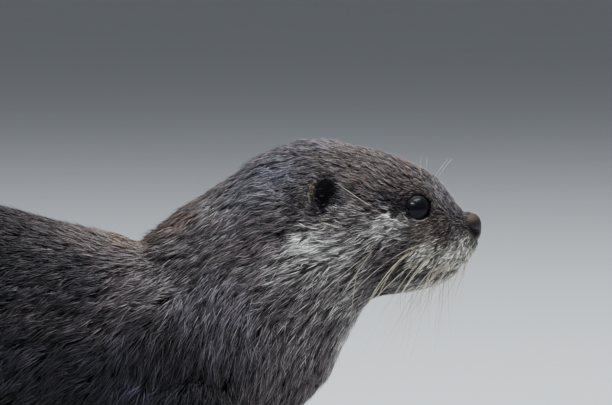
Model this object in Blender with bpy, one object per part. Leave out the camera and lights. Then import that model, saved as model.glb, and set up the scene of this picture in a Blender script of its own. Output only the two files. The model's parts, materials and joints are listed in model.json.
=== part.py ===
"""Asian small-clawed otter, standing with its head raised: a life-size still model.

Metres, +Z up, the nose towards +X and the animal's right side towards -Y. The soles stand on
Z = 0 and the origin is the middle of the model's box there. The surface is the outline of the
coat, out to its tips. Sizes below are in millimetres from the tip of the nose and the floor,
and MM turns them into metres.

One tube of planar rings runs from the snout to the tip of the tail. It is divided at rings into
muzzle, head, neck, shoulders, barrel, hips and three lengths of tail. Legs are tubes of level
rings, feet are palms joined with toes, and eyes, ears, nose and lower jaw sit in pockets.
"""

from math import cos, pi, radians, sin
from typing import NamedTuple

import bmesh
import bpy
import numpy as np

MM = 0.001
SEAM = 0.3                # width of each thin cut between two parts
RING_POINTS = 26          # points round the body tube
LEG_POINTS = 12           # points round a leg
TOE_POINTS = 6            # points round a toe
SIDES = {"right": -1, "left": 1}

HEAD_YAW = radians(-8)    # the head turns a little to the animal's right
YAW_PIVOT_X = -100        # the turn is about an upright axis here
NECK_BASE = (-130, 100)   # x, z where the turn starts to grow
NECK_REACH = 68           # and how far along the neck it is complete
NECK_SLOPE = radians(40)
TAIL_START_X = -395
TAIL_END_X = -697
TAIL_SWAY = 26            # the tip of the tail lies this far to the left


class Station(NamedTuple):
    """A planar ring of the body: the points on the back and belly lines, and its shape."""

    name: str
    back: tuple           # x, z on the upper outline
    belly: tuple          # x, z on the lower outline
    half_width: float
    fullness: float       # exponent of the section: 2 is an ellipse, more is squarer
    low_set: float        # above 0 the lower half is the wider one


BODY = [
    Station("lip", (-4.0, 143.0), (-2.6, 131.0), 8.5, 2.0, 0.15),
    Station("nose_bridge", (-8.5, 147.5), (-5.6, 126.0), 13.5, 2.1, 0.28),
    Station("whisker_pads", (-13.5, 155.0), (-11.0, 120.0), 18.5, 2.1, 0.30),
    Station("stop", (-20.5, 163.6), (-18.0, 114.9), 22.5, 2.1, 0.22),
    Station("eyes", (-29.5, 168.6), (-28.0, 111.6), 26.5, 2.15, 0.12),
    Station("brow", (-40.0, 173.2), (-37.0, 110.2), 31.0, 2.2, 0.08),
    Station("cheeks", (-54.0, 176.6), (-46.0, 108.2), 36.0, 2.2, 0.08),
    Station("crown", (-74.0, 180.0), (-52.5, 103.2), 39.5, 2.2, 0.06),
    Station("nape", (-97.0, 174.2), (-56.5, 96.3), 41.0, 2.1, 0.02),
    Station("neck_top", (-116.5, 160.8), (-60.6, 88.8), 42.5, 2.05, 0.0),
    Station("neck_middle", (-134.0, 150.0), (-65.2, 78.5), 45.0, 2.0, 0.0),
    Station("neck_base", (-146.5, 140.5), (-72.0, 68.5), 48.0, 2.0, 0.02),
    Station("withers", (-152.0, 135.8), (-86.0, 54.0), 50.5, 2.05, 0.04),
    Station("shoulders", (-160.5, 136.6), (-118.0, 43.5), 52.5, 2.1, 0.06),
    Station("chest", (-181.0, 141.2), (-160.0, 40.0), 54.0, 2.1, 0.08),
    Station("barrel", (-217.0, 149.6), (-211.0, 39.0), 55.5, 2.1, 0.10),
    Station("loins", (-272.0, 160.5), (-270.0, 43.0), 57.5, 2.1, 0.08),
    Station("hips", (-330.0, 157.0), (-325.0, 48.0), 56.0, 2.1, 0.05),
    Station("rump", (-375.0, 138.5), (-367.0, 52.0), 47.0, 2.0, 0.02),
    Station("tail_root", (-405.0, 115.0), (-389.0, 56.5), 33.0, 2.0, 0.0),
    Station("tail_base", (-440.0, 88.0), (-423.0, 42.0), 25.0, 2.0, 0.0),
    Station("tail_quarter", (-490.0, 57.0), (-479.0, 23.0), 20.0, 2.0, 0.0),
    Station("tail_middle", (-550.0, 35.0), (-545.0, 8.0), 15.5, 2.0, 0.0),
    Station("tail_three_quarters", (-622.0, 22.5), (-620.0, 4.0), 11.0, 2.0, 0.0),
    Station("tail_tip", (-688.0, 15.0), (-688.0, 6.0), 5.0, 2.0, 0.0),
]
SNOUT_END = (-1.6, 136.5)
TAIL_END = (-697.0, 10.5)

# Each length of the body tube: node, first and last place in BODY, and its number of rings.
LENGTHS = [
    ("muzzle", 0.0, 2.9, 7),
    ("head", 2.9, 7.6, 11),
    ("neck", 7.6, 11.55, 8),
    ("shoulders", 11.55, 14.2, 6),
    ("barrel", 14.2, 16.4, 5),
    ("hips", 16.4, 19.1, 6),
    ("tail_base", 19.1, 20.7, 4),
    ("tail_middle", 20.7, 22.4, 4),
    ("tail_tip", 22.4, 24.0, 4),
]
JAW_SPAN = (0.0, 6.4, 12)

# Swellings and hollows of the face, on both sides: centre, reach and height.
FACE_FORMS = [
    ((-13, 14, 131), 7.0, 2.0),     # whisker pad
    ((-30, 22, 159), 6.0, 1.2),     # brow over the eye
    ((-29, 25, 148), 6.0, -1.6),    # eye hollow
    ((-21, 21, 142), 6.0, -1.0),    # hollow between the eye and the pad
    ((-52, 36, 128), 14.0, 1.8),    # cheek
]


class LegRing(NamedTuple):
    """A level ring of a leg: height, centre and half sizes."""

    z: float
    x: float
    y: float
    half_length: float
    half_width: float


FORELEG = [
    LegRing(98, -127, 27, 20, 10),
    LegRing(84, -130, 33, 25, 15),
    LegRing(69, -134, 37, 25, 17),
    LegRing(54, -138, 39, 21, 15.5),
    LegRing(42, -140, 40, 16.5, 13.5),
    LegRing(31, -139, 40, 13, 11.5),
    LegRing(21, -135, 39.5, 11, 10.5),
    LegRing(12, -130, 39, 11, 11),
    LegRing(5, -127, 39, 11, 11),
]
HIND_LEG = [
    LegRing(124, -354, 22, 22, 10),
    LegRing(110, -353, 29, 31, 16),
    LegRing(92, -352, 35, 36, 20),
    LegRing(72, -349, 39, 35, 19),
    LegRing(55, -349, 41, 28, 16.5),
    LegRing(41, -356, 42, 20.5, 13.5),
    LegRing(30, -366, 42, 15, 11),
    LegRing(20, -374, 42, 12.5, 10),
    LegRing(12, -378, 42, 13, 10.5),
    LegRing(5, -378, 42, 14, 11),
]
# Where each leg is divided, as a place in its list of rings.
LEG_PARTS = {
    "fore": [("foreleg_upper", 0, 4), ("forearm", 4, 6.4)],
    "hind": [("thigh", 0, 4), ("shank", 4, 7)],
}
LEG_STEP = {              # each foot stands this far ahead of the plain stance
    ("fore", "right"): 7,
    ("fore", "left"): -8,
    ("hind", "right"): -9,
    ("hind", "left"): 8,
}


class Foot(NamedTuple):
    """A foot that points along +X: palm rings as distance, half width and height, and toes."""

    start_x: float
    y: float
    palm: list
    toe_lengths: list
    toe_radius: float
    toe_start: float
    splay: float          # degrees between the outer toes and the foot's line, to each side


FOREPAW = Foot(
    start_x=-143, y=39,
    palm=[(0, 7, 8), (5, 11, 12.5), (14, 12.5, 14), (23, 13, 11.5), (30, 12, 6.5), (35, 9, 3)],
    toe_lengths=[13, 20, 23, 21, 15], toe_radius=3.3, toe_start=23, splay=19,
)
HIND_FOOT = Foot(
    start_x=-395, y=42,
    palm=[(0, 6, 9), (6, 9.5, 14), (18, 11, 15), (34, 12.5, 12), (47, 14, 9.5), (56, 13, 5.5), (62, 9, 3)],
    toe_lengths=[16, 25, 28, 26, 19], toe_radius=3.7, toe_start=47, splay=17,
)
TOE_SHAPE = [             # along a toe: share of its length, share of its radius, height of centre
    (-0.15, 0.95, 1.10), (0.35, 1.05, 1.20), (0.82, 0.90, 0.85),
]

EYE_CENTRE = (-26.8, 17.2, 149.4)
EYE_RADIUS = 6.6
EYE_GAP = 0.35

NOSE_CENTRE = (-5.4, 0, 140.2)
NOSE_RADII = (5.4, 8.0, 6.6)
NOSE_FULLNESS = 2.5        # exponent of the nose pad's sections
NOSE_TAPER = 0.22          # the pad is this share narrower at its lower edge
NOSE_MESH = (12, 14)       # rows and columns of the pad's faces
NOSTRIL = (-2.8, 5.0, 138.6)
NOSTRIL_REACH = 1.9
NOSTRIL_DEPTH = 1.7

EAR_CENTRE = (-65.6, 36.6, 156.0)
EAR_FACES = (0.60, 0.80)   # x and outward parts of the way the ear's hollow looks
EAR_HALF_WIDTH = 8.0
EAR_HALF_HEIGHT = 9.2
EAR_DEPTH = 5.2
EAR_WALL = 2.0

# The mouth line and the back of the jaw, in the x, z plane, and below the chin.
JAW_OUTLINE = [(6, 127.0), (-8, 123.2), (-20, 121.4), (-31, 120.4), (-41, 113), (-45, 94), (6, 94)]
JAW_HALF_WIDTH = 60

COAT_DARK = (0.060, 0.048, 0.042, 1)
COAT_PALE = (0.30, 0.27, 0.235, 1)
SKIN_DARK = (0.020, 0.017, 0.017, 1)
EYE_DARK = (0.008, 0.006, 0.006, 1)


def clear_scene():
    """Removes every object, so that the model starts from nothing."""
    for obj in list(bpy.data.objects):
        bpy.data.objects.remove(obj)


def material(name, colour, roughness):
    """A Principled material of one colour."""
    mat = bpy.data.materials.new(name)
    mat.use_nodes = True
    shader = mat.node_tree.nodes["Principled BSDF"]
    shader.inputs["Base Color"].default_value = colour
    shader.inputs["Roughness"].default_value = roughness
    shader.inputs["Metallic"].default_value = 0.0
    return mat


def smoothstep(value):
    """0 below 0, 1 above 1, and an S-curve between."""
    share = np.clip(value, 0, 1)
    return share * share * (3 - 2 * share)


def posed(points):
    """Turns the head about its upright axis and sways the tail, for points in millimetres."""
    points = np.array(points, float)
    x, y, z = points.T
    ahead = (x - NECK_BASE[0]) * cos(NECK_SLOPE) + (z - NECK_BASE[1]) * sin(NECK_SLOPE)
    angle = HEAD_YAW * smoothstep(ahead / NECK_REACH)
    turned_x = YAW_PIVOT_X + (x - YAW_PIVOT_X) * np.cos(angle) - y * np.sin(angle)
    turned_y = (x - YAW_PIVOT_X) * np.sin(angle) + y * np.cos(angle)
    along = np.clip((x - TAIL_START_X) / (TAIL_END_X - TAIL_START_X), 0, 1)
    return np.stack([turned_x, turned_y + TAIL_SWAY * along**2, z], axis=1)


def smooth_through(knots, values, at):
    """A cubic Hermite curve through the values, read at the given places."""
    widths = np.diff(knots)[:, None]
    slopes = np.diff(values, axis=0) / widths
    middle = (slopes[:-1] * widths[1:] + slopes[1:] * widths[:-1]) / (widths[1:] + widths[:-1])
    tangents = np.vstack([slopes[:1], middle, slopes[-1:]])
    span = np.clip(np.searchsorted(knots, at, side="right") - 1, 0, len(knots) - 2)
    width = widths[span]
    u = ((at - knots[span])[:, None]) / width
    return (
        (2 * u**3 - 3 * u**2 + 1) * values[span]
        + (u**3 - 2 * u**2 + u) * width * tangents[span]
        + (3 * u**2 - 2 * u**3) * values[span + 1]
        + (u**3 - u**2) * width * tangents[span + 1]
    )


def body_sections(places):
    """Back and belly points, half width, fullness and low set at each place along BODY."""
    values = np.array([(*s.back, *s.belly, s.half_width, s.fullness, s.low_set) for s in BODY])
    steps = np.linalg.norm(np.diff(values[:, 0:2], axis=0), axis=1)
    steps = (steps + np.linalg.norm(np.diff(values[:, 2:4], axis=0), axis=1)) / 2
    knots = np.concatenate([[0], np.cumsum(steps)])
    return smooth_through(knots, values, np.interp(places, range(len(BODY)), knots))


def power(value, exponent):
    """The value's size raised to an exponent, with its sign kept."""
    return np.sign(value) * np.abs(value) ** exponent


def body_ring(section, points=RING_POINTS):
    """One planar ring of the body, from its section's numbers."""
    back = np.array([section[0], 0, section[1]])
    belly = np.array([section[2], 0, section[3]])
    half_width, fullness, low_set = section[4:7]
    turn = np.arange(points) * 2 * pi / points
    up = power(np.cos(turn), 2 / fullness)
    out = power(np.sin(turn), 2 / fullness) * (1 - low_set * up)
    ring = (back + belly) / 2 + np.outer(up, (back - belly) / 2)
    ring[:, 1] += half_width * out
    return ring


def with_face_forms(ring):
    """Moves a ring's points out or in over each swelling and hollow of the face."""
    middle = ring.mean(axis=0)
    outward = ring - middle
    outward /= np.linalg.norm(outward, axis=1)[:, None]
    for centre, reach, height in FACE_FORMS:
        for side in SIDES.values():
            away = ring - np.array(centre) * (1, side, 1)
            share = np.exp(-np.sum(away**2, axis=1) / (2 * reach**2))
            ring = ring + outward * (height * share)[:, None]
    return ring


def moved_back(ring, distance):
    """A ring moved along its own plane's normal, towards the tail for a distance above 0."""
    across = ring[0] - ring[len(ring) // 2]
    normal = np.cross(across, (0, 1, 0))
    normal /= np.linalg.norm(normal)
    if normal[0] > 0:
        normal = -normal
    return ring + normal * distance


def body_rings(first, last, count):
    """The rings of one length of the body, drawn in by half a seam where it meets another."""
    places = np.linspace(first, last, count)
    rings = [with_face_forms(body_ring(section)) for section in body_sections(places)]
    if first > 0:
        rings[0] = moved_back(rings[0], SEAM / 2)
    if last < len(BODY) - 1:
        rings[-1] = moved_back(rings[-1], -SEAM / 2)
    return rings


def rounded_end(ring, pole, share=0.62):
    """A smaller ring between a tube's last ring and its pole, so that the end is round."""
    middle = ring.mean(axis=0)
    return middle + (ring - middle) * share + (np.array(pole) - middle) * (1 - share**2)


def tube_object(name, rings, mat, first_pole=None, last_pole=None, pose=True):
    """A closed tube through the rings, with flat ends or with a pole at either end."""
    bm = bmesh.new()
    loops = []
    for ring in rings:
        points = posed(ring) if pose else np.array(ring)
        loops.append([bm.verts.new(p * MM) for p in points])
    for lower, upper in zip(loops[:-1], loops[1:]):
        for i in range(len(lower)):
            j = (i + 1) % len(lower)
            bm.faces.new((lower[i], lower[j], upper[j], upper[i]))
    for loop, pole in ((loops[0], first_pole), (loops[-1], last_pole)):
        if pole is None:
            bm.faces.new(loop)
            continue
        point = posed([pole])[0] if pose else np.array(pole, float)
        tip = bm.verts.new(point * MM)
        for i in range(len(loop)):
            bm.faces.new((loop[i], loop[(i + 1) % len(loop)], tip))
    return finished(name, bm, mat)


def finished(name, bm, mat):
    """The object of a bmesh, with its faces outwards and its round sides shaded smooth."""
    bmesh.ops.recalc_face_normals(bm, faces=bm.faces)
    mesh = bpy.data.meshes.new(name)
    bm.to_mesh(mesh)
    bm.free()
    mesh.shade_smooth()
    mesh.set_sharp_from_angle(angle=radians(50))
    obj = bpy.data.objects.new(name, mesh)
    bpy.context.scene.collection.objects.link(obj)
    if mat:
        mesh.materials.append(mat)
    return obj


def as_cutter(obj):
    """Marks an object as a helper that only shapes others."""
    obj.hide_render = True
    obj.display_type = "WIRE"
    return obj


def combine(obj, other, operation, own_overlaps=False):
    """Adds a live Boolean to the object."""
    modifier = obj.modifiers.new(f"{operation.lower()}_{other.name}", "BOOLEAN")
    modifier.operation = operation
    modifier.object = other
    modifier.use_self = own_overlaps


def build_body(mat):
    """The lengths of the body tube, by name."""
    lengths = {}
    for name, first, last, count in LENGTHS:
        rings = body_rings(first, last, count)
        start = end = None
        if name == "muzzle":
            start = (SNOUT_END[0], 0, SNOUT_END[1])
            rings.insert(0, rounded_end(rings[0], start))
        if name == "tail_tip":
            end = (TAIL_END[0], 0, TAIL_END[1])
            rings.append(rounded_end(rings[-1], end))
        lengths[name] = tube_object(name, rings, mat, start, end)
    return lengths


def jaw_prism(name, shrink):
    """A block that bounds the lower jaw, drawn in on its upper and back sides by shrink."""
    outline = np.array(JAW_OUTLINE, float)
    ring = np.insert(outline, 1, 0, axis=1)
    ring[:-1, 2] -= shrink
    ring[-3:-1, 0] += shrink
    walls = [ring + (0, JAW_HALF_WIDTH * side, 0) for side in (-1, 1)]
    return as_cutter(tube_object(name, walls, None))


def build_jaw(lengths, mat):
    """Cuts the lower jaw from the muzzle and head, and makes it a part of its own."""
    space = jaw_prism("jaw_space", 0)
    for name in ("muzzle", "head"):
        combine(lengths[name], space, "DIFFERENCE")
    start = (SNOUT_END[0], 0, SNOUT_END[1])
    rings = [with_face_forms(body_ring(s)) for s in body_sections(np.linspace(*JAW_SPAN))]
    rings.insert(0, rounded_end(rings[0], start))
    jaw = tube_object("lower_jaw", rings, mat, start)
    combine(jaw, jaw_prism("jaw_bounds", SEAM), "INTERSECT")


def ball(name, centre, radii, mat, rows=8, columns=12, shape=None):
    """An ellipsoid with its poles to left and right, and its unit points reshaped if asked."""
    rings = []
    for i in range(1, rows):
        lat = pi * i / rows
        turn = np.arange(columns) * 2 * pi / columns
        unit = np.stack([sin(lat) * np.cos(turn), np.full(columns, -cos(lat)), sin(lat) * np.sin(turn)], 1)
        rings.append(np.array(centre) + (shape(unit) if shape else unit) * radii)
    poles = [np.array(centre) + (0, radii[1] * side, 0) for side in (-1, 1)]
    return tube_object(name, rings, mat, *poles)


def nose_form(unit):
    """The nose pad's unit shape: squarer than a ball, and narrower at its lower edge."""
    length = np.sum(np.abs(unit) ** NOSE_FULLNESS, axis=1) ** (1 / NOSE_FULLNESS)
    squared = unit / length[:, None]
    squared[:, 1] *= 1 - NOSE_TAPER * smoothstep(0.5 - squared[:, 2])
    return squared


def nose_with_nostrils(unit):
    """The nose pad's unit shape with the two nostrils pressed in."""
    formed = nose_form(unit)
    for side in SIDES.values():
        away = formed * NOSE_RADII + NOSE_CENTRE - np.array(NOSTRIL) * (1, side, 1)
        share = np.exp(-np.sum(away**2, axis=1) / (2 * NOSTRIL_REACH**2))
        formed = formed * (1 - NOSTRIL_DEPTH / NOSE_RADII[0] * share)[:, None]
    return formed


def build_nose(lengths, mat):
    """The bare nose pad, in a pocket of the muzzle."""
    radii = np.array(NOSE_RADII)
    ball("nose", NOSE_CENTRE, radii, mat, *NOSE_MESH, shape=nose_with_nostrils)
    pocket = ball("nose_pocket", NOSE_CENTRE, radii + SEAM, None, *NOSE_MESH, shape=nose_form)
    as_cutter(pocket)
    combine(lengths["muzzle"], pocket, "DIFFERENCE")


def build_eyes(lengths, mat):
    """An eyeball on each side, in a socket of the head."""
    for side, sign in SIDES.items():
        centre = np.array(EYE_CENTRE) * (1, sign, 1)
        ball(f"eye_{side}", centre, np.full(3, EYE_RADIUS), mat)
        socket = ball(f"socket_{side}", centre, np.full(3, EYE_RADIUS + EYE_GAP), None)
        combine(lengths["head"], as_cutter(socket), "DIFFERENCE")


def ear_rings(sign, grow, depth_share):
    """Rings of one face of the ear's cup, from its rim to near its middle.

    The cup is a paraboloid: its depth falls with the square of the distance from the middle.
    """
    centre = np.array(EAR_CENTRE) * (1, sign, 1)
    faces = np.array([EAR_FACES[0], EAR_FACES[1] * sign, 0])
    across = np.array([-EAR_FACES[1], EAR_FACES[0] * sign, 0])
    turn = np.arange(LEG_POINTS) * 2 * pi / LEG_POINTS
    rings = []
    for share in (1.0, 0.75, 0.45, 0.15):
        rim = np.outer(np.cos(turn) * (EAR_HALF_WIDTH + grow) * share, across)
        rim[:, 2] += np.sin(turn) * (EAR_HALF_HEIGHT + grow) * share
        rings.append(centre + rim - faces * (EAR_DEPTH * depth_share + grow) * (1 - share**2))
    return rings


def build_ears(lengths, mat):
    """A small round cupped ear on each side, open to the front, in a pocket of the head."""
    for side, sign in SIDES.items():
        outer = ear_rings(sign, 0, 1)
        inner = ear_rings(sign, -EAR_WALL, 1)
        rim = (np.array(outer[0]) + inner[0]) / 2
        lip = np.array([EAR_FACES[0], EAR_FACES[1] * sign, 0]) * EAR_WALL / 3
        rings = outer[::-1] + [rim + lip] + inner
        tube_object(f"ear_{side}", rings, mat)
        lens = ear_rings(sign, SEAM, 1)
        front = [lens[0] + lip * 2.2]
        pocket = as_cutter(tube_object(f"ear_pocket_{side}", lens[::-1] + front, None))
        for name in ("head", "neck"):
            combine(lengths[name], pocket, "DIFFERENCE")


def leg_rings(rings, first, last, sign, step, grow=0.0):
    """Level rings of a leg between two places in its list, and half a step between each."""
    values = np.array(rings, float)
    knots = np.arange(len(rings), dtype=float)
    places = np.linspace(first, last, round((last - first) * 2) + 1)
    turn = np.arange(LEG_POINTS) * 2 * pi / LEG_POINTS
    found = []
    for z, x, y, half_length, half_width in smooth_through(knots, values, places):
        ahead = step * smoothstep((100 - z) / 80)
        ring = np.zeros((LEG_POINTS, 3))
        ring[:, 0] = x + ahead + (half_length + grow) * np.cos(turn)
        ring[:, 1] = sign * y + (half_width + grow) * np.sin(turn)
        ring[:, 2] = z
        found.append(ring)
    return found


def foot_tube(name, foot, sign, step, mat):
    """The palm of a foot, a little below the floor until the floor cutter levels it."""
    turn = np.arange(LEG_POINTS) * 2 * pi / LEG_POINTS
    rings = []
    for distance, half_width, height in foot.palm:
        ring = np.zeros((LEG_POINTS, 3))
        ring[:, 0] = foot.start_x + step + distance
        ring[:, 1] = sign * foot.y + half_width * np.cos(turn)
        ring[:, 2] = (height - 1.5) / 2 + (height + 1.5) / 2 * power(np.sin(turn), 0.85)
        rings.append(ring)
    heel = np.array([foot.start_x + step - 2.5, sign * foot.y, foot.palm[0][2] / 2])
    tip = np.array([foot.start_x + step + foot.palm[-1][0] + 1.5, sign * foot.y, 0.8])
    return tube_object(name, rings, mat, heel, tip)


def toe_tubes(name, foot, sign, step):
    """The five toes of a foot as one helper: the inner one is the shortest and set back."""
    bm = bmesh.new()
    turn = np.arange(TOE_POINTS) * 2 * pi / TOE_POINTS
    count = len(foot.toe_lengths)
    for i, length in enumerate(foot.toe_lengths):
        lean = (i - (count - 1) / 2) / ((count - 1) / 2)
        angle = radians(foot.splay) * lean * sign
        aim = np.array([cos(angle), sin(angle), 0])
        side = np.array([-sin(angle), cos(angle), 0])
        root_y = sign * foot.y + sign * lean * foot.palm[-3][1] * 0.74
        root = np.array([foot.start_x + step + foot.toe_start - 6 * abs(lean) ** 2 - 3 * (i == 0), root_y, 0])
        loops = []
        for share, radius_share, height_share in TOE_SHAPE:
            radius = foot.toe_radius * radius_share
            middle = root + aim * length * share + np.array([0, 0, foot.toe_radius * height_share])
            ring = middle + radius * (np.outer(np.cos(turn), side) + np.outer(np.sin(turn), (0, 0, 1)))
            loops.append([bm.verts.new(p * MM) for p in ring])
        for lower, upper in zip(loops[:-1], loops[1:]):
            for j in range(TOE_POINTS):
                k = (j + 1) % TOE_POINTS
                bm.faces.new((lower[j], lower[k], upper[k], upper[j]))
        bm.faces.new(loops[0])
        tip = bm.verts.new((root + aim * length + np.array([0, 0, foot.toe_radius * 0.6])) * MM)
        for j in range(TOE_POINTS):
            bm.faces.new((loops[-1][j], loops[-1][(j + 1) % TOE_POINTS], tip))
    return as_cutter(finished(name, bm, None))


def floor_block():
    """A block under the floor, which levels the soles."""
    corners = np.array([(-460, -90), (-60, -90), (-60, 90), (-460, 90)], float)
    walls = [np.column_stack([corners, np.full(4, z)]) for z in (-20.0, 0.0)]
    return as_cutter(tube_object("floor_block", walls, None, pose=False))


def build_leg(kind, side, rings, foot, foot_name, lengths, cut_from, floor, mats):
    """One leg: its lofted lengths, its foot, and the pocket that it takes in the body."""
    sign, step = SIDES[side], LEG_STEP[kind, side]
    for name, first, last in LEG_PARTS[kind]:
        part = leg_rings(rings, first, last, sign, step)
        if first > 0:
            part[0][:, 2] -= SEAM / 2
        part[-1][:, 2] += SEAM / 2
        tube_object(f"{name}_{side}", part, mats["coat"])
    pocket = leg_rings(rings, 0, len(rings) - 2, sign, step, SEAM)
    pocket[0][:, 2] += SEAM
    pocket = as_cutter(tube_object(f"{kind}_pocket_{side}", pocket, None))
    for name in cut_from:
        combine(lengths[name], pocket, "DIFFERENCE")
    ankle_place = LEG_PARTS[kind][-1][2]
    ankle = leg_rings(rings, ankle_place, len(rings) - 1, sign, step)
    ankle[0][:, 2] -= SEAM / 2
    node = tube_object(f"{foot_name}_{side}", ankle, mats["coat"])
    palm = as_cutter(foot_tube(f"{foot_name}_palm_{side}", foot, sign, step, None))
    combine(node, palm, "UNION")
    combine(node, toe_tubes(f"{foot_name}_toes_{side}", foot, sign, step), "UNION", own_overlaps=True)
    combine(node, floor, "DIFFERENCE")


def centre_on_floor():
    """Parents everything to one empty, moved so that the origin is the middle of the box."""
    bpy.context.view_layer.update()
    graph = bpy.context.evaluated_depsgraph_get()
    corners = []
    for obj in bpy.context.scene.objects:
        if obj.type == "MESH" and not obj.hide_render:
            mesh = obj.evaluated_get(graph).to_mesh()
            points = np.empty(len(mesh.vertices) * 3, np.float32)
            mesh.vertices.foreach_get("co", points)
            points = points.reshape(-1, 3)
            corners += [points.min(axis=0), points.max(axis=0)]
            obj.evaluated_get(graph).to_mesh_clear()
    middle = (np.min(corners, axis=0) + np.max(corners, axis=0)) / 2
    stand = bpy.data.objects.new("otter", None)
    bpy.context.scene.collection.objects.link(stand)
    for obj in list(bpy.context.scene.objects):
        if obj is not stand:
            obj.parent = stand
    stand.location = (-middle[0], -middle[1], 0)


def main():
    """Builds the whole animal."""
    clear_scene()
    mats = {
        "coat": material("coat", COAT_DARK, 0.85),
        "throat": material("throat", COAT_PALE, 0.85),
        "skin": material("bare_skin", SKIN_DARK, 0.45),
        "eye": material("eye", EYE_DARK, 0.05),
    }
    lengths = build_body(mats["coat"])
    build_jaw(lengths, mats["throat"])
    build_nose(lengths, mats["skin"])
    build_eyes(lengths, mats["eye"])
    build_ears(lengths, mats["coat"])
    floor = floor_block()
    for side in SIDES:
        build_leg("fore", side, FORELEG, FOREPAW, "forepaw", lengths, ["neck", "shoulders"], floor, mats)
        build_leg("hind", side, HIND_LEG, HIND_FOOT, "hind_foot", lengths, ["hips", "tail_base"], floor, mats)
    centre_on_floor()


main()
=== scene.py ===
"""Looks of the Asian small-clawed otter: skin, coat, eyes, nose, whiskers, claws and studio.

One skin is drawn in from the frame's solids by the depth of the coat, and the coat lies over it
as closed spindle-shaped tufts that follow the lie of the fur. Lengths in the tables below are in
millimetres in the animal's plain stance, from the tip of the nose and the floor, with the head
and the tail straight. Pose turns them into metres in the frame.
"""

import itertools
import json
import logging
from dataclasses import dataclass, field
from enum import Enum
from typing import NamedTuple

import bmesh
import bpy
import numpy as np
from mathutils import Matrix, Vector
from mathutils.bvhtree import BVHTree

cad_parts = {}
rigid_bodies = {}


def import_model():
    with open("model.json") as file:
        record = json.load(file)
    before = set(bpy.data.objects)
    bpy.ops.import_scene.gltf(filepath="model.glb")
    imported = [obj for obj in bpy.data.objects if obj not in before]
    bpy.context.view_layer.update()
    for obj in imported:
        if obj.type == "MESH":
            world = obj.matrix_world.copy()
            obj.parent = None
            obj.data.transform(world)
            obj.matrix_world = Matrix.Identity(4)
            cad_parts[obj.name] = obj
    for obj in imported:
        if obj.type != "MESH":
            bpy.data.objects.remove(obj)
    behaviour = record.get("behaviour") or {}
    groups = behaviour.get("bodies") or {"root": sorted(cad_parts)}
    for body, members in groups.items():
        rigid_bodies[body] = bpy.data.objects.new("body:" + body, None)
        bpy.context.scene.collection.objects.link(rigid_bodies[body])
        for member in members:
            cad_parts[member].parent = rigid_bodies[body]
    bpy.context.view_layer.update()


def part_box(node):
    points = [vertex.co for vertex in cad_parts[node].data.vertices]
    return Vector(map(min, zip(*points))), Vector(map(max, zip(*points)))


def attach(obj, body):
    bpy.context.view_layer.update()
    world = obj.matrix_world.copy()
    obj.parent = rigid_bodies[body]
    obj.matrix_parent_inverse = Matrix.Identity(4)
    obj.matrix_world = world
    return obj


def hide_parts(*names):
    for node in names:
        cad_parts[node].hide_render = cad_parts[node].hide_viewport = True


LOG = logging.getLogger("otter")
MM = 0.001
BODY = "root"
COAT_SEED = 40                # of the first piece of the coat
WHISKER_SEED = 70

Array = np.ndarray
Chance = np.random.Generator
Object = bpy.types.Object
Socket = bpy.types.NodeSocket
Point = tuple[float, float, float]
Colour = tuple[float, float, float]
Value = Socket | float | Colour       # what goes into a shader node's socket
Inputs = dict[int | str, Value]


class Side(Enum):
    """The animal's two sides, by the sign of Y."""

    RIGHT = -1
    LEFT = 1


class Slot(Enum):
    """Material slots of the record."""

    COAT = "coat"
    BARE_SKIN = "bare_skin"
    EYE = "eye"
    WHISKER = "whisker"


# ---------------------------------------------------------------------------------- numbers


def smoothstep(value: Array) -> Array:
    """0 below 0, 1 above 1, and an S-curve between."""
    share = np.clip(value, 0, 1)
    return share * share * (3 - 2 * share)


def unit(vectors: Array) -> Array:
    """Each row scaled to a length of 1."""
    length = np.linalg.norm(vectors, axis=-1, keepdims=True)
    return vectors / np.maximum(length, 1e-12)


def dots(a: Array, b: Array) -> Array:
    """The dot product of each pair of rows, as a column."""
    return np.sum(a * b, axis=-1, keepdims=True)


def bell(value: Array) -> Array:
    """1 at 0, and falling to 0 on both sides: exp(-value^2)."""
    return np.exp(-(value**2))


def round_turn(count: int) -> Array:
    """Angles at even steps round a full turn."""
    return np.arange(count) * 2 * np.pi / count


def on_side(point: Point | Array, side: Side) -> Array:
    """A place or direction that is written for the left, moved to that side."""
    return np.array(point) * (1, side.value, 1)


def folded(plain: Array) -> Array:
    """The points, with those of the right side mirrored to the left."""
    return plain * (1, 0, 1) + np.abs(plain) * (0, 1, 0)


class Seed:
    """Starts of the series of chance that depend on a place alone."""

    LOCK = 1.7
    BALD = 3.3
    TURN = 4.4
    TONE = 8.8
    SHARED = 9.2


def scattered(cells: Array, seed: float) -> Array:
    """Three numbers from 0 to 1 for each whole-numbered cell: the fraction of a large sine."""
    turn = cells @ np.array([[127.1, 269.5, 113.5], [311.7, 183.3, 271.9], [74.7, 246.1, 124.6]])
    value = np.sin(turn + seed) * 43758.5453
    return value - np.floor(value)


def soft_noise(points: Array, size: float, seed: float) -> Array:
    """Noise from -1 to 1 that changes over about the given size: a grid's values, blended."""
    place = points / size
    cell = np.floor(place)
    share = smoothstep(place - cell)
    total = np.zeros(len(points))
    for corner in itertools.product((0, 1), repeat=3):
        weight = np.prod(np.where(corner, share, 1 - share), axis=1)
        total += weight * scattered(cell + corner, seed)[:, 0]
    return total * 2 - 1


# ---------------------------------------------------------------------------------- pose


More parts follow.
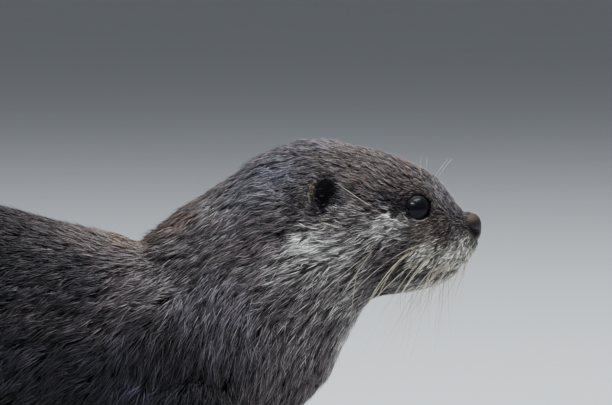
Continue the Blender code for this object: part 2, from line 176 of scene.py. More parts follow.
@dataclass(frozen=True)
class Pose:
    """The turn of the head and the sway of the tail, and the way between plain and frame."""

    origin: Array
    head_yaw: float = np.radians(-8)
    pivot_x: float = -100
    neck_base: tuple[float, float] = (-130, 100)
    neck_reach: float = 68
    neck_slope: float = np.radians(40)
    tail_start_x: float = -395
    tail_end_x: float = -697
    tail_sway: float = 26

    def ahead(self, plain: Array) -> Array:
        """How far each point lies up the neck from its base."""
        x, z = plain[:, 0] - self.neck_base[0], plain[:, 2] - self.neck_base[1]
        return x * np.cos(self.neck_slope) + z * np.sin(self.neck_slope)

    def _sway(self, x: Array) -> Array:
        """How far the tail lies to the left at each x."""
        along = np.clip((x - self.tail_start_x) / (self.tail_end_x - self.tail_start_x), 0, 1)
        return self.tail_sway * along**2

    def _turned(self, points: Array, angle: Array) -> Array:
        """The points turned about the upright axis at pivot_x."""
        x, y = points[:, 0] - self.pivot_x, points[:, 1]
        turned = points.copy()
        turned[:, 0] = self.pivot_x + x * np.cos(angle) - y * np.sin(angle)
        turned[:, 1] = x * np.sin(angle) + y * np.cos(angle)
        return turned

    def _angle(self, plain: Array) -> Array:
        """The part of the head's turn that has been made at each point."""
        return self.head_yaw * smoothstep(self.ahead(plain) / self.neck_reach)

    def bent(self, plain: Array) -> Array:
        """Plain points with the head turned and the tail swayed, still in millimetres."""
        points = self._turned(plain, self._angle(plain))
        points[:, 1] += self._sway(plain[:, 0])
        return points

    def to_frame(self, plain: Array) -> Array:
        """Frame points, in metres, of plain points."""
        plain = np.atleast_2d(np.asarray(plain, float))
        return self.origin + self.bent(plain) * MM

    def to_plain(self, points: Array) -> Array:
        """Plain points of frame points: the turn is undone by a few rounds of correction."""
        bent = (points - self.origin) / MM
        plain = bent.copy()
        for _ in range(4):
            straight = bent.copy()
            straight[:, 1] -= self._sway(plain[:, 0])
            plain = self._turned(straight, -self._angle(plain))
        return plain

    def directions(self, plain: Array, vectors: Array) -> Array:
        """Frame directions of vectors at plain points: the difference of two bent points."""
        return unit(self.bent(plain + vectors * 0.5) - self.bent(plain - vectors * 0.5))


class Head:
    """Places on the head, in plain millimetres."""

    EYE_CENTRE: Point = (-26.8, 17.2, 149.4)      # of the solids' eyes
    EYE_SEAT: Point = (-27.8, 17.2, 149.3)        # of the eyeballs, a little further in
    EYE_RADIUS = 6.45
    EYE_FACES: Point = (0.50, 0.86, 0.10)
    EYE_OPENS = 0.62          # the opening's middle lies this share of the radius out
    LID_REACH = 5.0
    NOSE_CENTRE: Point = (-5.4, 0, 140.2)
    NOSE_RADII: Point = (5.4, 8.0, 6.6)
    NOSE_FULLNESS = 2.5
    EAR_CENTRE: Point = (-65.6, 36.6, 156.0)
    EAR_FACES: Point = (0.60, 0.80, 0.0)
    MOUTH_LINE = ((2.0, 125.8), (-8.0, 123.2), (-20.0, 121.4), (-31.0, 120.4), (-38.0, 117.5))
    MOUTH_BACK_X = -35.0


def find_pose() -> Pose:
    """The pose with its origin found from the eyes, which lie evenly on each side of the head."""
    boxes = [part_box(f"eye_{side.name.lower()}") for side in Side]
    middle = np.mean([np.array(corner) for pair in boxes for corner in pair], axis=0)
    still = Pose(np.zeros(3))
    eyes = still.to_frame([[Head.EYE_CENTRE[0], 0, Head.EYE_CENTRE[2]]])[0]
    return Pose(middle - eyes)


# ---------------------------------------------------------------------------------- lie of the coat


class Lie(NamedTuple):
    """How the coat lies near one place: its flow, and the size and number of its tufts."""

    place: Point          # on one side of the animal, with y outwards
    flow: Point           # from root to tip, with y outwards
    length: float
    width: float
    depth: float          # how thick the coat is over the skin
    density: float        # tufts on a square millimetre


LIES = {
    "bridge": ((-10, 4, 149), (-1, 0.10, 0.5), 2.6, 0.42, 0.7, 3.8),
    "muzzle_top": ((-18, 10, 155), (-1, 0.15, 0.5), 3.2, 0.46, 0.9, 3.6),
    "whisker_pad": ((-12, 16, 133), (-0.70, 0.45, -0.75), 3.4, 0.42, 0.9, 4.0),
    "muzzle_side": ((-20, 21, 139), (-0.80, 0.4, -0.60), 3.6, 0.46, 0.9, 3.6),
    "lip": ((-5, 6, 129), (-0.5, 0.5, -0.8), 2.8, 0.38, 0.6, 4.0),
    "lip_side": ((-20, 22, 126), (-0.6, 0.3, -0.8), 4.0, 0.44, 0.9, 3.4),
    "chin": ((-14, 5, 117), (-0.75, 0.1, -0.6), 4.0, 0.45, 1.0, 3.0),
    "jaw_side": ((-30, 22, 114), (-0.75, 0.2, -0.65), 5.4, 0.55, 1.3, 2.8),
    "forehead": ((-34, 8, 170), (-1, 0.10, 0.3), 4.8, 0.58, 1.3, 3.2),
    "brow": ((-33, 22, 160), (-1, 0.15, 0.15), 4.4, 0.54, 1.1, 3.2),
    "cheek_front": ((-38, 28, 138), (-1, 0.3, -0.22), 5.6, 0.55, 1.4, 3.2),
    "cheek": ((-56, 35, 134), (-1, 0.15, -0.26), 7.4, 0.66, 2.0, 3.2),
    "cheek_low": ((-50, 30, 118), (-0.8, 0.1, -0.6), 7.6, 0.66, 2.1, 3.0),
    "temple": ((-52, 33, 158), (-1, 0.15, -0.04), 5.6, 0.60, 1.6, 3.2),
    "crown": ((-72, 10, 179), (-1, 0.05, -0.1), 6.6, 0.74, 1.9, 2.9),
    "ear": ((-68, 40, 157), (-0.70, 0.50, 0.25), 3.0, 0.46, 0.6, 6.0),
    "ear_front": ((-58, 36, 157), (-0.9, 0.20, 0.25), 3.6, 0.50, 1.2, 4.5),
    "nape": ((-98, 12, 171), (-0.95, 0.05, -0.35), 8.6, 0.88, 2.6, 2.4),
    "throat": ((-58, 12, 100), (-0.5, 0.1, -0.8), 8.0, 0.75, 2.3, 2.2),
    "throat_side": ((-62, 33, 116), (-0.6, 0.1, -0.75), 8.6, 0.75, 2.5, 2.8),
    "neck_behind_ear": ((-88, 38, 150), (-1, 0.1, -0.34), 8.2, 0.82, 2.4, 2.7),
    "neck_side": ((-92, 41, 128), (-0.85, 0.05, -0.56), 9.4, 0.88, 2.8, 2.6),
    "neck_middle": ((-108, 43, 108), (-0.60, 0.0, -0.8), 10.4, 0.95, 3.2, 2.3),
    "neck_low": ((-112, 48, 82), (-0.30, 0.0, -0.95), 11.0, 1.00, 3.4, 2.2),
    "neck_back": ((-128, 20, 148), (-0.85, 0.15, -0.5), 9.6, 0.95, 3.0, 2.3),
    "throat_low": ((-66, 14, 78), (-0.25, 0.1, -0.97), 9.6, 0.90, 3.0, 2.0),
    "chest": ((-84, 22, 56), (-0.3, 0.3, -0.9), 10.0, 1.00, 3.2, 1.7),
    "brisket": ((-112, 8, 42), (-1, 0.1, -0.2), 9.0, 1.05, 3.2, 0.8),
    "withers": ((-154, 12, 134), (-1, 0.05, 0.05), 9.8, 1.00, 3.4, 2.2),
    "shoulder_top": ((-150, 42, 118), (-0.74, 0.05, -0.66), 10.6, 1.05, 3.5, 2.1),
    "shoulder": ((-140, 53, 84), (-0.50, 0.0, -0.86), 11.0, 1.05, 3.5, 2.0),
    "back_front": ((-188, 18, 143), (-1, 0.08, -0.02), 10.4, 1.05, 3.6, 2.0),
    "ribs": ((-185, 53, 98), (-0.84, 0.0, -0.54), 11.0, 1.10, 3.6, 1.75),
    "back": ((-230, 20, 150), (-1, 0.12, 0.03), 10.4, 1.15, 3.7, 1.3),
    "flank": ((-232, 54, 100), (-0.92, 0.0, -0.38), 10.8, 1.20, 3.8, 1.15),
    "flank_low": ((-225, 50, 64), (-0.76, 0.0, -0.65), 10.6, 1.20, 3.7, 1.1),
    "belly": ((-220, 15, 40), (-1, 0.0, 0.0), 9.0, 1.20, 3.2, 0.6),
    "loin": ((-290, 25, 158), (-1, 0.12, -0.05), 10.6, 1.20, 3.8, 1.0),
    "flank_rear": ((-290, 56, 96), (-0.94, 0.0, -0.34), 10.8, 1.25, 3.8, 0.9),
    "rump": ((-368, 18, 138), (-0.9, 0.1, -0.4), 9.8, 1.15, 3.5, 0.9),
    "hip": ((-345, 52, 100), (-0.9, 0.0, -0.45), 10.0, 1.20, 3.6, 0.75),
    "thigh": ((-345, 57, 68), (-0.6, 0.0, -0.8), 8.8, 1.10, 3.0, 0.8),
    "shank": ((-360, 48, 36), (-0.35, 0.0, -0.93), 5.0, 0.80, 1.5, 1.0),
    "heel": ((-380, 42, 17), (0.1, 0.0, -1), 3.0, 0.52, 0.7, 1.2),
    "hind_foot": ((-352, 42, 12), (1, 0.0, -0.2), 2.0, 0.40, 0.35, 1.5),
    "hind_toes": ((-322, 42, 5), (1, 0.0, -0.2), 1.4, 0.30, 0.22, 1.6),
    "upper_foreleg": ((-134, 54, 58), (-0.25, 0.0, -0.96), 8.0, 0.92, 2.6, 1.1),
    "forearm": ((-140, 50, 34), (0.0, 0.0, -1), 4.6, 0.72, 1.3, 1.2),
    "wrist": ((-136, 46, 18), (0.3, 0.0, -0.9), 3.0, 0.50, 0.7, 1.3),
    "forepaw": ((-118, 39, 10), (1, 0.0, -0.2), 2.0, 0.40, 0.35, 1.6),
    "fore_toes": ((-102, 39, 5), (1, 0.0, -0.2), 1.4, 0.30, 0.22, 1.8),
    "tail_root": ((-412, 16, 98), (-0.8, 0.05, -0.6), 8.8, 1.05, 3.0, 0.8),
    "tail_root_under": ((-405, 10, 55), (-0.8, 0.0, -0.5), 7.8, 1.00, 2.6, 0.7),
    "tail_base": ((-455, 14, 60), (-0.86, 0.0, -0.5), 7.6, 0.95, 2.3, 0.8),
    "tail_middle": ((-540, 10, 22), (-0.98, 0.0, -0.18), 6.4, 0.85, 1.6, 0.8),
    "tail_end": ((-630, 8, 13), (-1, 0.0, -0.08), 5.2, 0.72, 1.1, 0.9),
    "tail_tip": ((-692, 2, 10), (-1, 0.0, 0.0), 4.6, 0.60, 0.8, 1.2),
}


class CoatLie:
    """Reads the lie of the coat anywhere, from the places where it is written down."""

    SHARPNESS = 2.4       # how fast a place's say falls with distance
    CORE = 3.0            # within this distance of a place, its say is even
    FADE = 9.0            # over this distance off the lids, the coat grows to its full size
    SHORTEST = 0.42       # share of their length that the tufts at the lids have

    def __init__(self, pose: Pose) -> None:
        """Keeps the table as arrays."""
        self.pose = pose
        lies = [Lie(*row) for row in LIES.values()]
        self.places = np.array([lie.place for lie in lies], float)
        self.flows = unit(np.array([lie.flow for lie in lies], float))
        self.sizes = np.array([(lie.length, lie.width, lie.depth, lie.density) for lie in lies])

    def _weights(self, plain: Array) -> Array:
        """Each place's say at each point: one over a power of the distance, made to add to 1."""
        gap = np.sum((folded(plain)[:, None, :] - self.places[None]) ** 2, axis=2)
        weights = (gap + self.CORE**2) ** -self.SHARPNESS
        return weights / weights.sum(axis=1, keepdims=True)

    def sizes_at(self, plain: Array) -> Array:
        """Length, width, depth and density at each point, as columns, finer round each eye."""
        sizes = np.concatenate([self._weights(part) @ self.sizes for part in parted(plain)])
        near = np.min([face_distance(plain, side) for side in Side], axis=0)
        fine = self.SHORTEST + (1 - self.SHORTEST) * smoothstep((near - Head.LID_REACH) / self.FADE)
        sizes[:, 0] *= fine
        sizes[:, 1] *= 0.5 + fine / 2
        sizes[:, 2] *= smoothstep((near - Head.LID_REACH + 1.5) / self.FADE)
        return sizes

    def flow_at(self, plain: Array, normals: Array) -> Array:
        """The flow in the frame, laid along the surface and parted round the eyes.

        Args:
            plain: Points in the plain stance.
            normals: The surface's normals there, in the frame.

        Returns:
            One unit vector in the frame for each point.
        """
        flow = np.concatenate([self._weights(part) @ self.flows for part in parted(plain)])
        flow[:, 1] *= np.where(plain[:, 1] < 0, -1, 1)
        along = self.pose.directions(plain, unit(flow))
        along = unit(along - dots(along, normals) * normals)
        for side in Side:
            along = self._parted_round(side, along, plain, normals)
        return along

    def _parted_round(self, side: Side, along: Array, plain: Array, normals: Array) -> Array:
        """Flow that passes round that side's eye, as a stream passes round a post.

        The along vector loses (reach / r)^2 of its mirror image in the line from the centre.
        """
        seat, reach = on_side(Head.EYE_SEAT, side), Head.LID_REACH
        out = self.pose.to_frame(plain) - self.pose.to_frame([seat])[0]
        out -= dots(out, normals) * normals
        radius = np.linalg.norm(out, axis=1, keepdims=True) / MM
        straight = np.linalg.norm(plain - seat, axis=1, keepdims=True)
        share = np.clip((reach / np.maximum(radius, reach)) ** 2, 0, 1)
        share *= smoothstep((3.2 * reach - straight) / reach)
        away = unit(out)
        bent = along - share * (2 * dots(along, away) * away - along)
        return unit(bent + away * share * 0.15)


def parted(points: Array, size: int = 40_000) -> list[Array]:
    """The array in runs of rows, which keeps the weight tables small."""
    return [points[i : i + size] for i in range(0, max(len(points), 1), size)]


def eye_opening(side: Side) -> Array:
    """The middle of that side's eye opening, in the plain stance."""
    aim = unit(on_side(Head.EYE_FACES, side))
    return on_side(Head.EYE_SEAT, side) + aim * Head.EYE_RADIUS * Head.EYE_OPENS


def face_distance(plain: Array, side: Side) -> Array:
    """Distance of each plain point from the middle of that side's eye opening."""
    return np.linalg.norm(plain - eye_opening(side), axis=1)


# ---------------------------------------------------------------------------------- markings, painted shade and painted highlights


class Mark(Enum):
    """Masks that both the skin and the coat carry: markings, and painted shade and highlights."""

    PALE = "pale"
    CREAM = "cream"
    DARK = "dark"
    WARM = "warm"
    GREY = "grey"
    TAN = "tan"
    # painted highlight: a blue-grey glint of light, painted over the fur's colour
    SHEEN = "sheen"


class Patch(NamedTuple):
    """A soft-edged patch of a marking, painted light or painted shade: an ellipsoid in the plain stance,
    leaning back by a tilt.
    """

    place: Point
    radii: Point
    tilt: float           # degrees by which its long axis dips towards the tail
    strength: float
    edge: float           # share of the radius over which it fades


PATCHES = {
    Mark.PALE: (
        ((-64, 40, 127), (45, 36, 22), 8, 0.65, 0.9), ((-69, 40, 135), (24, 30, 11), 10, 0.95, 0.9),
        ((-38, 30, 144.0), (18, 16, 7), 2, 1.00, 0.8), ((-22, 22, 140), (13, 14, 7), 10, 0.32, 0.9),
        ((-34, 28, 138), (12, 14, 6), 20, 0.65, 0.9), ((-54, 34, 149), (17, 16, 5), 4, 0.45, 0.9),
        ((-36, 20, 117), (20, 22, 9), 10, 0.40, 0.9), ((-135, 20, 135), (14, 32, 10), 0, 0.30, 0.9),
        ((-48, 32, 137), (18, 18, 8), 25, 0.65, 0.9), ((-64, 36, 145), (20, 20, 6), 0, 0.50, 0.9),
        ((-58, 25, 111), (30, 40, 20), 25, 0.55, 0.9), ((-58, 0, 95), (32, 28, 28), 40, 0.75, 0.9),
        ((-74, 30, 94), (24, 30, 32), 60, 0.35, 0.9), ((-72, 0, 66), (22, 26, 32), 75, 0.40, 0.9),
        # The ear-rim patch on this line is partly the rim's tan fur and partly painted light where the
        # rim catches it; the neck patch is a painted highlight on the top of the neck.
        ((-71, 38, 159), (3.6, 8, 9), 0, 0.30, 0.7), ((-114, 30, 154), (26, 26, 14), 30, 0.34, 0.9),
        # The first patch on this line is painted light on the neck's side above the withers.
        ((-141, 30, 138), (20, 30, 12), 0, 0.22, 0.9), ((-230, 0, 38), (170, 34, 16), 0, 0.35, 0.8),
    ),
    Mark.CREAM: (
        ((-7, 13, 128.2), (17, 24, 10), 6, 1.00, 0.5), ((-8, 11, 134), (9, 12, 5.5), 20, 0.90, 0.8),
        ((-22, 22, 130), (14, 14, 9.5), 16, 0.90, 0.7), ((-20, 0, 116), (26, 32, 10), 8, 0.95, 0.7),
        ((-26, 20, 117.5), (13, 14, 5), 0, 0.75, 0.8),
    ),
    Mark.DARK: (
        ((-38, 24, 152.3), (14, 14, 7), 0, 0.95, 0.8), ((-27, 20, 150.4), (8.2, 12, 6.6), 0, 0.95, 0.3),
        ((-23, 24, 138.5), (10, 14, 5), 15, 0.08, 0.9), ((-50, 34, 160), (14, 14, 12), 0, 0.80, 0.9),
        # Painted shadow: the first patch on this line is the shadow that the ear's rim casts on the head
        # behind it.
        ((-77, 36, 155), (6, 9, 11), 0, 0.85, 0.7), ((-48, 22, 169), (24, 20, 8), 0, 0.35, 0.9),
        # Painted shade, in part: the body's patches on this line and the next two are the coat's dark
        # brown, deepened as painted shade low on the flank, shoulder and chest.
        ((-200, 50, 62), (140, 60, 74), 0, 0.94, 0.6), ((-262, 0, 106), (128, 90, 86), 0, 1.00, 0.4),
        ((-405, 0, 80), (225, 112, 108), 0, 0.86, 0.55), ((-143, 55, 60), (76, 45, 82), 0, 0.92, 0.65),
        ((-182, 42, 116), (32, 34, 31), 0, 0.85, 0.6), ((-86, 36, 56), (34, 40, 26), 0, 0.45, 0.9),
    ),
    Mark.WARM: (
        ((-152, 0, 136), (20, 60, 14), 0, 0.75, 0.9), ((-45, 0, 165), (60, 60, 32), 0, 0.42, 0.7),
        ((-110, 0, 150), (60, 60, 40), 0, 0.42, 0.7), ((-260, 0, 130), (160, 70, 60), 0, 0.50, 0.7),
        # The ear-rim patch on this line is partly the rim's tan fur and partly painted light where the
        # rim catches it.
        ((-20, 20, 140), (16, 16, 12), 0, 0.55, 0.7), ((-71.0, 38, 159.5), (3.4, 8, 10), 0, 1.00, 0.6),
    ),
    Mark.GREY: (
        # Both patches on this line are partly the neck's grey fur and partly a painted blue-grey
        # highlight of the sky light.
        ((-112, 50, 104), (56, 46, 50), -40, 0.60, 0.9), ((-100, 24, 162), (60, 50, 34), 30, 0.85, 0.9),
        # The bridge patch on this line is a painted blue-grey highlight along the top of the muzzle.
        ((-80, 36, 165), (16, 20, 8), 20, 1.00, 0.9), ((-14, 5, 158), (18, 14, 13), -35, 0.80, 0.9),
        ((-72, 0, 182), (64, 40, 24), 10, 0.65, 0.9), ((-100, 0, 60), (60, 60, 30), 0, 0.50, 0.9),
        ((-230, 0, 40), (170, 48, 26), 0, 0.75, 0.7),
    ),
    Mark.TAN: (
        ((-230, 0, 140), (130, 60, 46), 0, 0.25, 0.8), ((-151, 0, 132), (24, 50, 19), 0, 0.58, 0.9),
        ((-128, 10, 142), (20, 30, 14), 30, 0.55, 0.9), ((-100, 0, 172), (50, 22, 10), 0, 0.30, 0.9),
        ((-380, 0, 120), (120, 60, 50), 0, 0.26, 0.9),
    ),
    # Painted highlights: the blue-grey glint of light on the lower shoulder, the shoulder's side and the
    # neck's side.
    Mark.SHEEN: (
        ((-150, 56, 72), (27, 30, 23), 0, 0.44, 0.9), ((-158, 52, 98), (15, 30, 18), -30, 0.28, 0.9),
        ((-60, 50, 122), (34, 26, 18), 20, 0.14, 0.9),
    ),
}
RIM_WIDTH = 1.2               # of the pale rim under the eye
RIM_ANGLE = np.radians(-68)   # of its middle, from straight ahead
EAR_HOLLOW = (7.2, 9.1)       # half sizes of the ear's cup, painted dark as shade, across and upwards
EAR_HOLLOW_AHEAD = 2.6
EAR_HOLLOW_UP = 1.2
EAR_HOLLOW_LEAN = 0.22        # how far its top leans ahead, against its height
LIGHT_FEET = (0.62, 12, 45)   # share of the dark at the feet, and where and over what it grows


def ear_reach(plain: Array) -> tuple[Array, Array]:
    """How far each plain point lies out along the ear's facing, and how far off the cup's middle.

    The second is 1 on the edge of the cup's ellipse.
    """
    ear = folded(plain) - Head.EAR_CENTRE
    aim = unit(np.array(Head.EAR_FACES))
    beside = ear @ np.array([aim[1], -aim[0], 0]) - EAR_HOLLOW_AHEAD
    above = ear[:, 2] - EAR_HOLLOW_UP
    narrowed = EAR_HOLLOW[0] * (1 + 0.03 * np.clip(above, -8, 8))
    return ear @ aim, np.hypot((beside - EAR_HOLLOW_LEAN * above) / narrowed, above / EAR_HOLLOW[1])


def lid_sector(angle: Array) -> Array:
    """1 at the pale rim's angle on a lid, below and ahead of the eye, and 0 elsewhere."""
    return smoothstep((np.cos(angle - RIM_ANGLE) - 0.45) / 0.35)


def sector_at(plain: Array, side: Side) -> Array:
    """The lid sector's value at plain points, seen from the middle of that side's eye."""
    x, _, z = (plain - eye_opening(side)).T
    return lid_sector(np.arctan2(z, x))


def lid_rim(plain: Array) -> Array:
    """1 on the pale rim below and ahead of each eye: a sector of a ring, with soft ends."""
    rim = np.zeros(len(plain))
    for side in Side:
        near = face_distance(plain, side)
        ring = smoothstep((near - 4.4) / 0.5) * smoothstep((Head.LID_REACH + RIM_WIDTH - near) / 0.6)
        rim = np.maximum(rim, ring * sector_at(plain, side))
    return rim


def markings(plain: Array) -> dict[Mark, Array]:
    """Each mask at each plain point: the strongest of its patches there, which are markings, painted
    shade and painted highlights.

    A patch is 1 within its ellipsoid's inner share, and falls to 0 at its surface.
    """
    masks = {mark: np.zeros(len(plain)) for mark in Mark}
    for mark, patch in ((mark, Patch(*row)) for mark, rows in PATCHES.items() for row in rows):
        x, y, z = (folded(plain) - patch.place).T
        tilt = np.radians(patch.tilt)
        long = x * np.cos(tilt) + z * np.sin(tilt)
        high = z * np.cos(tilt) - x * np.sin(tilt)
        axes = zip((long, y, high), patch.radii)
        reach = np.sqrt(sum((off / radius) ** 2 for off, radius in axes))
        masks[mark] = np.maximum(masks[mark], patch.strength * smoothstep((1 - reach) / patch.edge))
    # Painted shade in the ear's cup: its mask is laid into the dark mask, and the cream is taken out of
    # it.
    facing, reach = ear_reach(plain)
    hollow = smoothstep((1.08 - reach) / 0.22) * smoothstep(facing + 5.5)
    rim = lid_rim(plain)
    low, start, over = LIGHT_FEET
    masks[Mark.DARK] *= low + (1 - low) * smoothstep((plain[:, 2] - start) / over)
    masks[Mark.DARK] = np.maximum(masks[Mark.DARK], hollow) * (1 - rim)
    masks[Mark.PALE] = np.maximum(masks[Mark.PALE] * (1 - masks[Mark.DARK]), 0.5 * rim)
    masks[Mark.CREAM] *= 1 - hollow
    return masks


# ---------------------------------------------------------------------------------- meshes


def mesh_arrays(mesh: bpy.types.Mesh) -> tuple[Array, Array]:
    """The points and the triangles of a mesh, as arrays."""
    mesh.calc_loop_triangles()
    points = np.empty(len(mesh.vertices) * 3, np.float32)
    mesh.vertices.foreach_get("co", points)
    triangles = np.empty(len(mesh.loop_triangles) * 3, np.int32)
    mesh.loop_triangles.foreach_get("vertices", triangles)
    return points.reshape(-1, 3).astype(float), triangles.reshape(-1, 3)


def point_normals(points: Array, triangles: Array) -> Array:
    """Point normals: the sum of the cross products of each point's triangles, made unit."""
    corners = points[triangles]
    cross = np.cross(corners[:, 1] - corners[:, 0], corners[:, 2] - corners[:, 0])
    total = np.zeros_like(points)
    for axis in range(3):
        weights = np.repeat(cross[:, axis], 3)
        total[:, axis] = np.bincount(triangles.ravel(), weights=weights, minlength=len(points))
    return unit(total)


def add_object(name: str, data: bpy.types.ID) -> Object:
    """A new object in the scene."""
    obj = bpy.data.objects.new(name, data)
    bpy.context.scene.collection.objects.link(obj)
    return obj


def new_piece(name: str, points: Array, faces: Array, slot: Slot) -> Object:
    """A smooth-shaded object from arrays, which rides on the body.

    Args:
        name: The piece's name.
        points: Its points, in the frame, one row each.
        faces: Its faces, one row of point numbers each, all with the same number of corners.
        slot: The record's slot that its finish comes from; not used.

    Returns:
        The new object.
    """
    mesh = bpy.data.meshes.new(name)
    count, corners = faces.shape
    mesh.vertices.add(len(points))
    mesh.vertices.foreach_set("co", points.astype(np.float32).ravel())
    mesh.loops.add(count * corners)
    mesh.loops.foreach_set("vertex_index", faces.astype(np.int32).ravel())
    mesh.polygons.add(count)
    mesh.polygons.foreach_set("loop_start", np.arange(0, count * corners, corners, dtype=np.int32))
    mesh.polygons.foreach_set("use_smooth", np.ones(count, bool))
    mesh.update(calc_edges=True)
    mesh.validate()
    obj = add_object(name, mesh)
    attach(obj, BODY)
    return obj


def set_values(obj: Object, values: dict[str, Array]) -> None:
    """Stores numbers for each point of the object's mesh, under their names."""
    for name, numbers in values.items():
        layer = obj.data.attributes.new(name, "FLOAT", "POINT")
        layer.data.foreach_set("value", numbers.astype(np.float32).ravel())


def tube_faces(rows: int, columns: int) -> Array:
    """Quads between the rings of a tube, whose points come ring by ring."""
    start, j = np.arange(rows - 1)[:, None] * columns, np.arange(columns)[None]
    after = (j + 1) % columns
    quads = np.stack([start + j, start + after, start + columns + after, start + columns + j], axis=2)
    return quads.reshape(-1, 4)


def around(across: Array, turn: Array, along: Array) -> Array:
    """Points of a round surface about its third axis, ring by ring.

    Args:
        across: Distance from the axis, which broadcasts against turn.
        turn: Angle round the axis.
        along: Distance along the axis.

    Returns:
        One row for each point.
    """
    along = along * np.ones_like(turn)
    return np.stack([across * np.cos(turn), across * np.sin(turn), along], axis=2).reshape(-1, 3)


def merged_parts(parts: list[tuple[Array, Array]]) -> tuple[Array, Array]:
    """Several sets of points and faces as one."""
    starts = np.cumsum([0] + [len(points) for points, _ in parts[:-1]])
    points = np.concatenate([points for points, _ in parts])
    faces = np.concatenate([faces + start for (_, faces), start in zip(parts, starts)])
    return points, faces


# ---------------------------------------------------------------------------------- skin


PAIRED = ("ear", "foreleg_upper", "forearm", "forepaw", "thigh", "shank", "hind_foot")
FLESH = ["muzzle", "head", "lower_jaw", "neck", "shoulders", "barrel", "hips"]
FLESH += ["tail_base", "tail_middle", "tail_tip"]
FLESH += [f"{part}_{side.name.lower()}" for side in Side for part in PAIRED]


class Fold(NamedTuple):
    """A soft swelling of the skin, or a hollow if its rise is below 0."""

    place: Point
    radii: Point
    rise: float


FOLDS = (
    Fold((-13, 11, 131), (9, 8, 6.5), 0.9),
    Fold((-9, 0, 129), (9, 1.6, 9), -0.9),
    Fold((-34, 25, 141), (9, 8, 2.2), 0.5),
    Fold((-34, 24, 138), (9, 8, 1.8), -0.5),
    Fold((-24, 17, 158), (8, 8, 2.6), 0.5),
    Fold((-44, 27, 116), (5, 14, 14), -0.8),
)


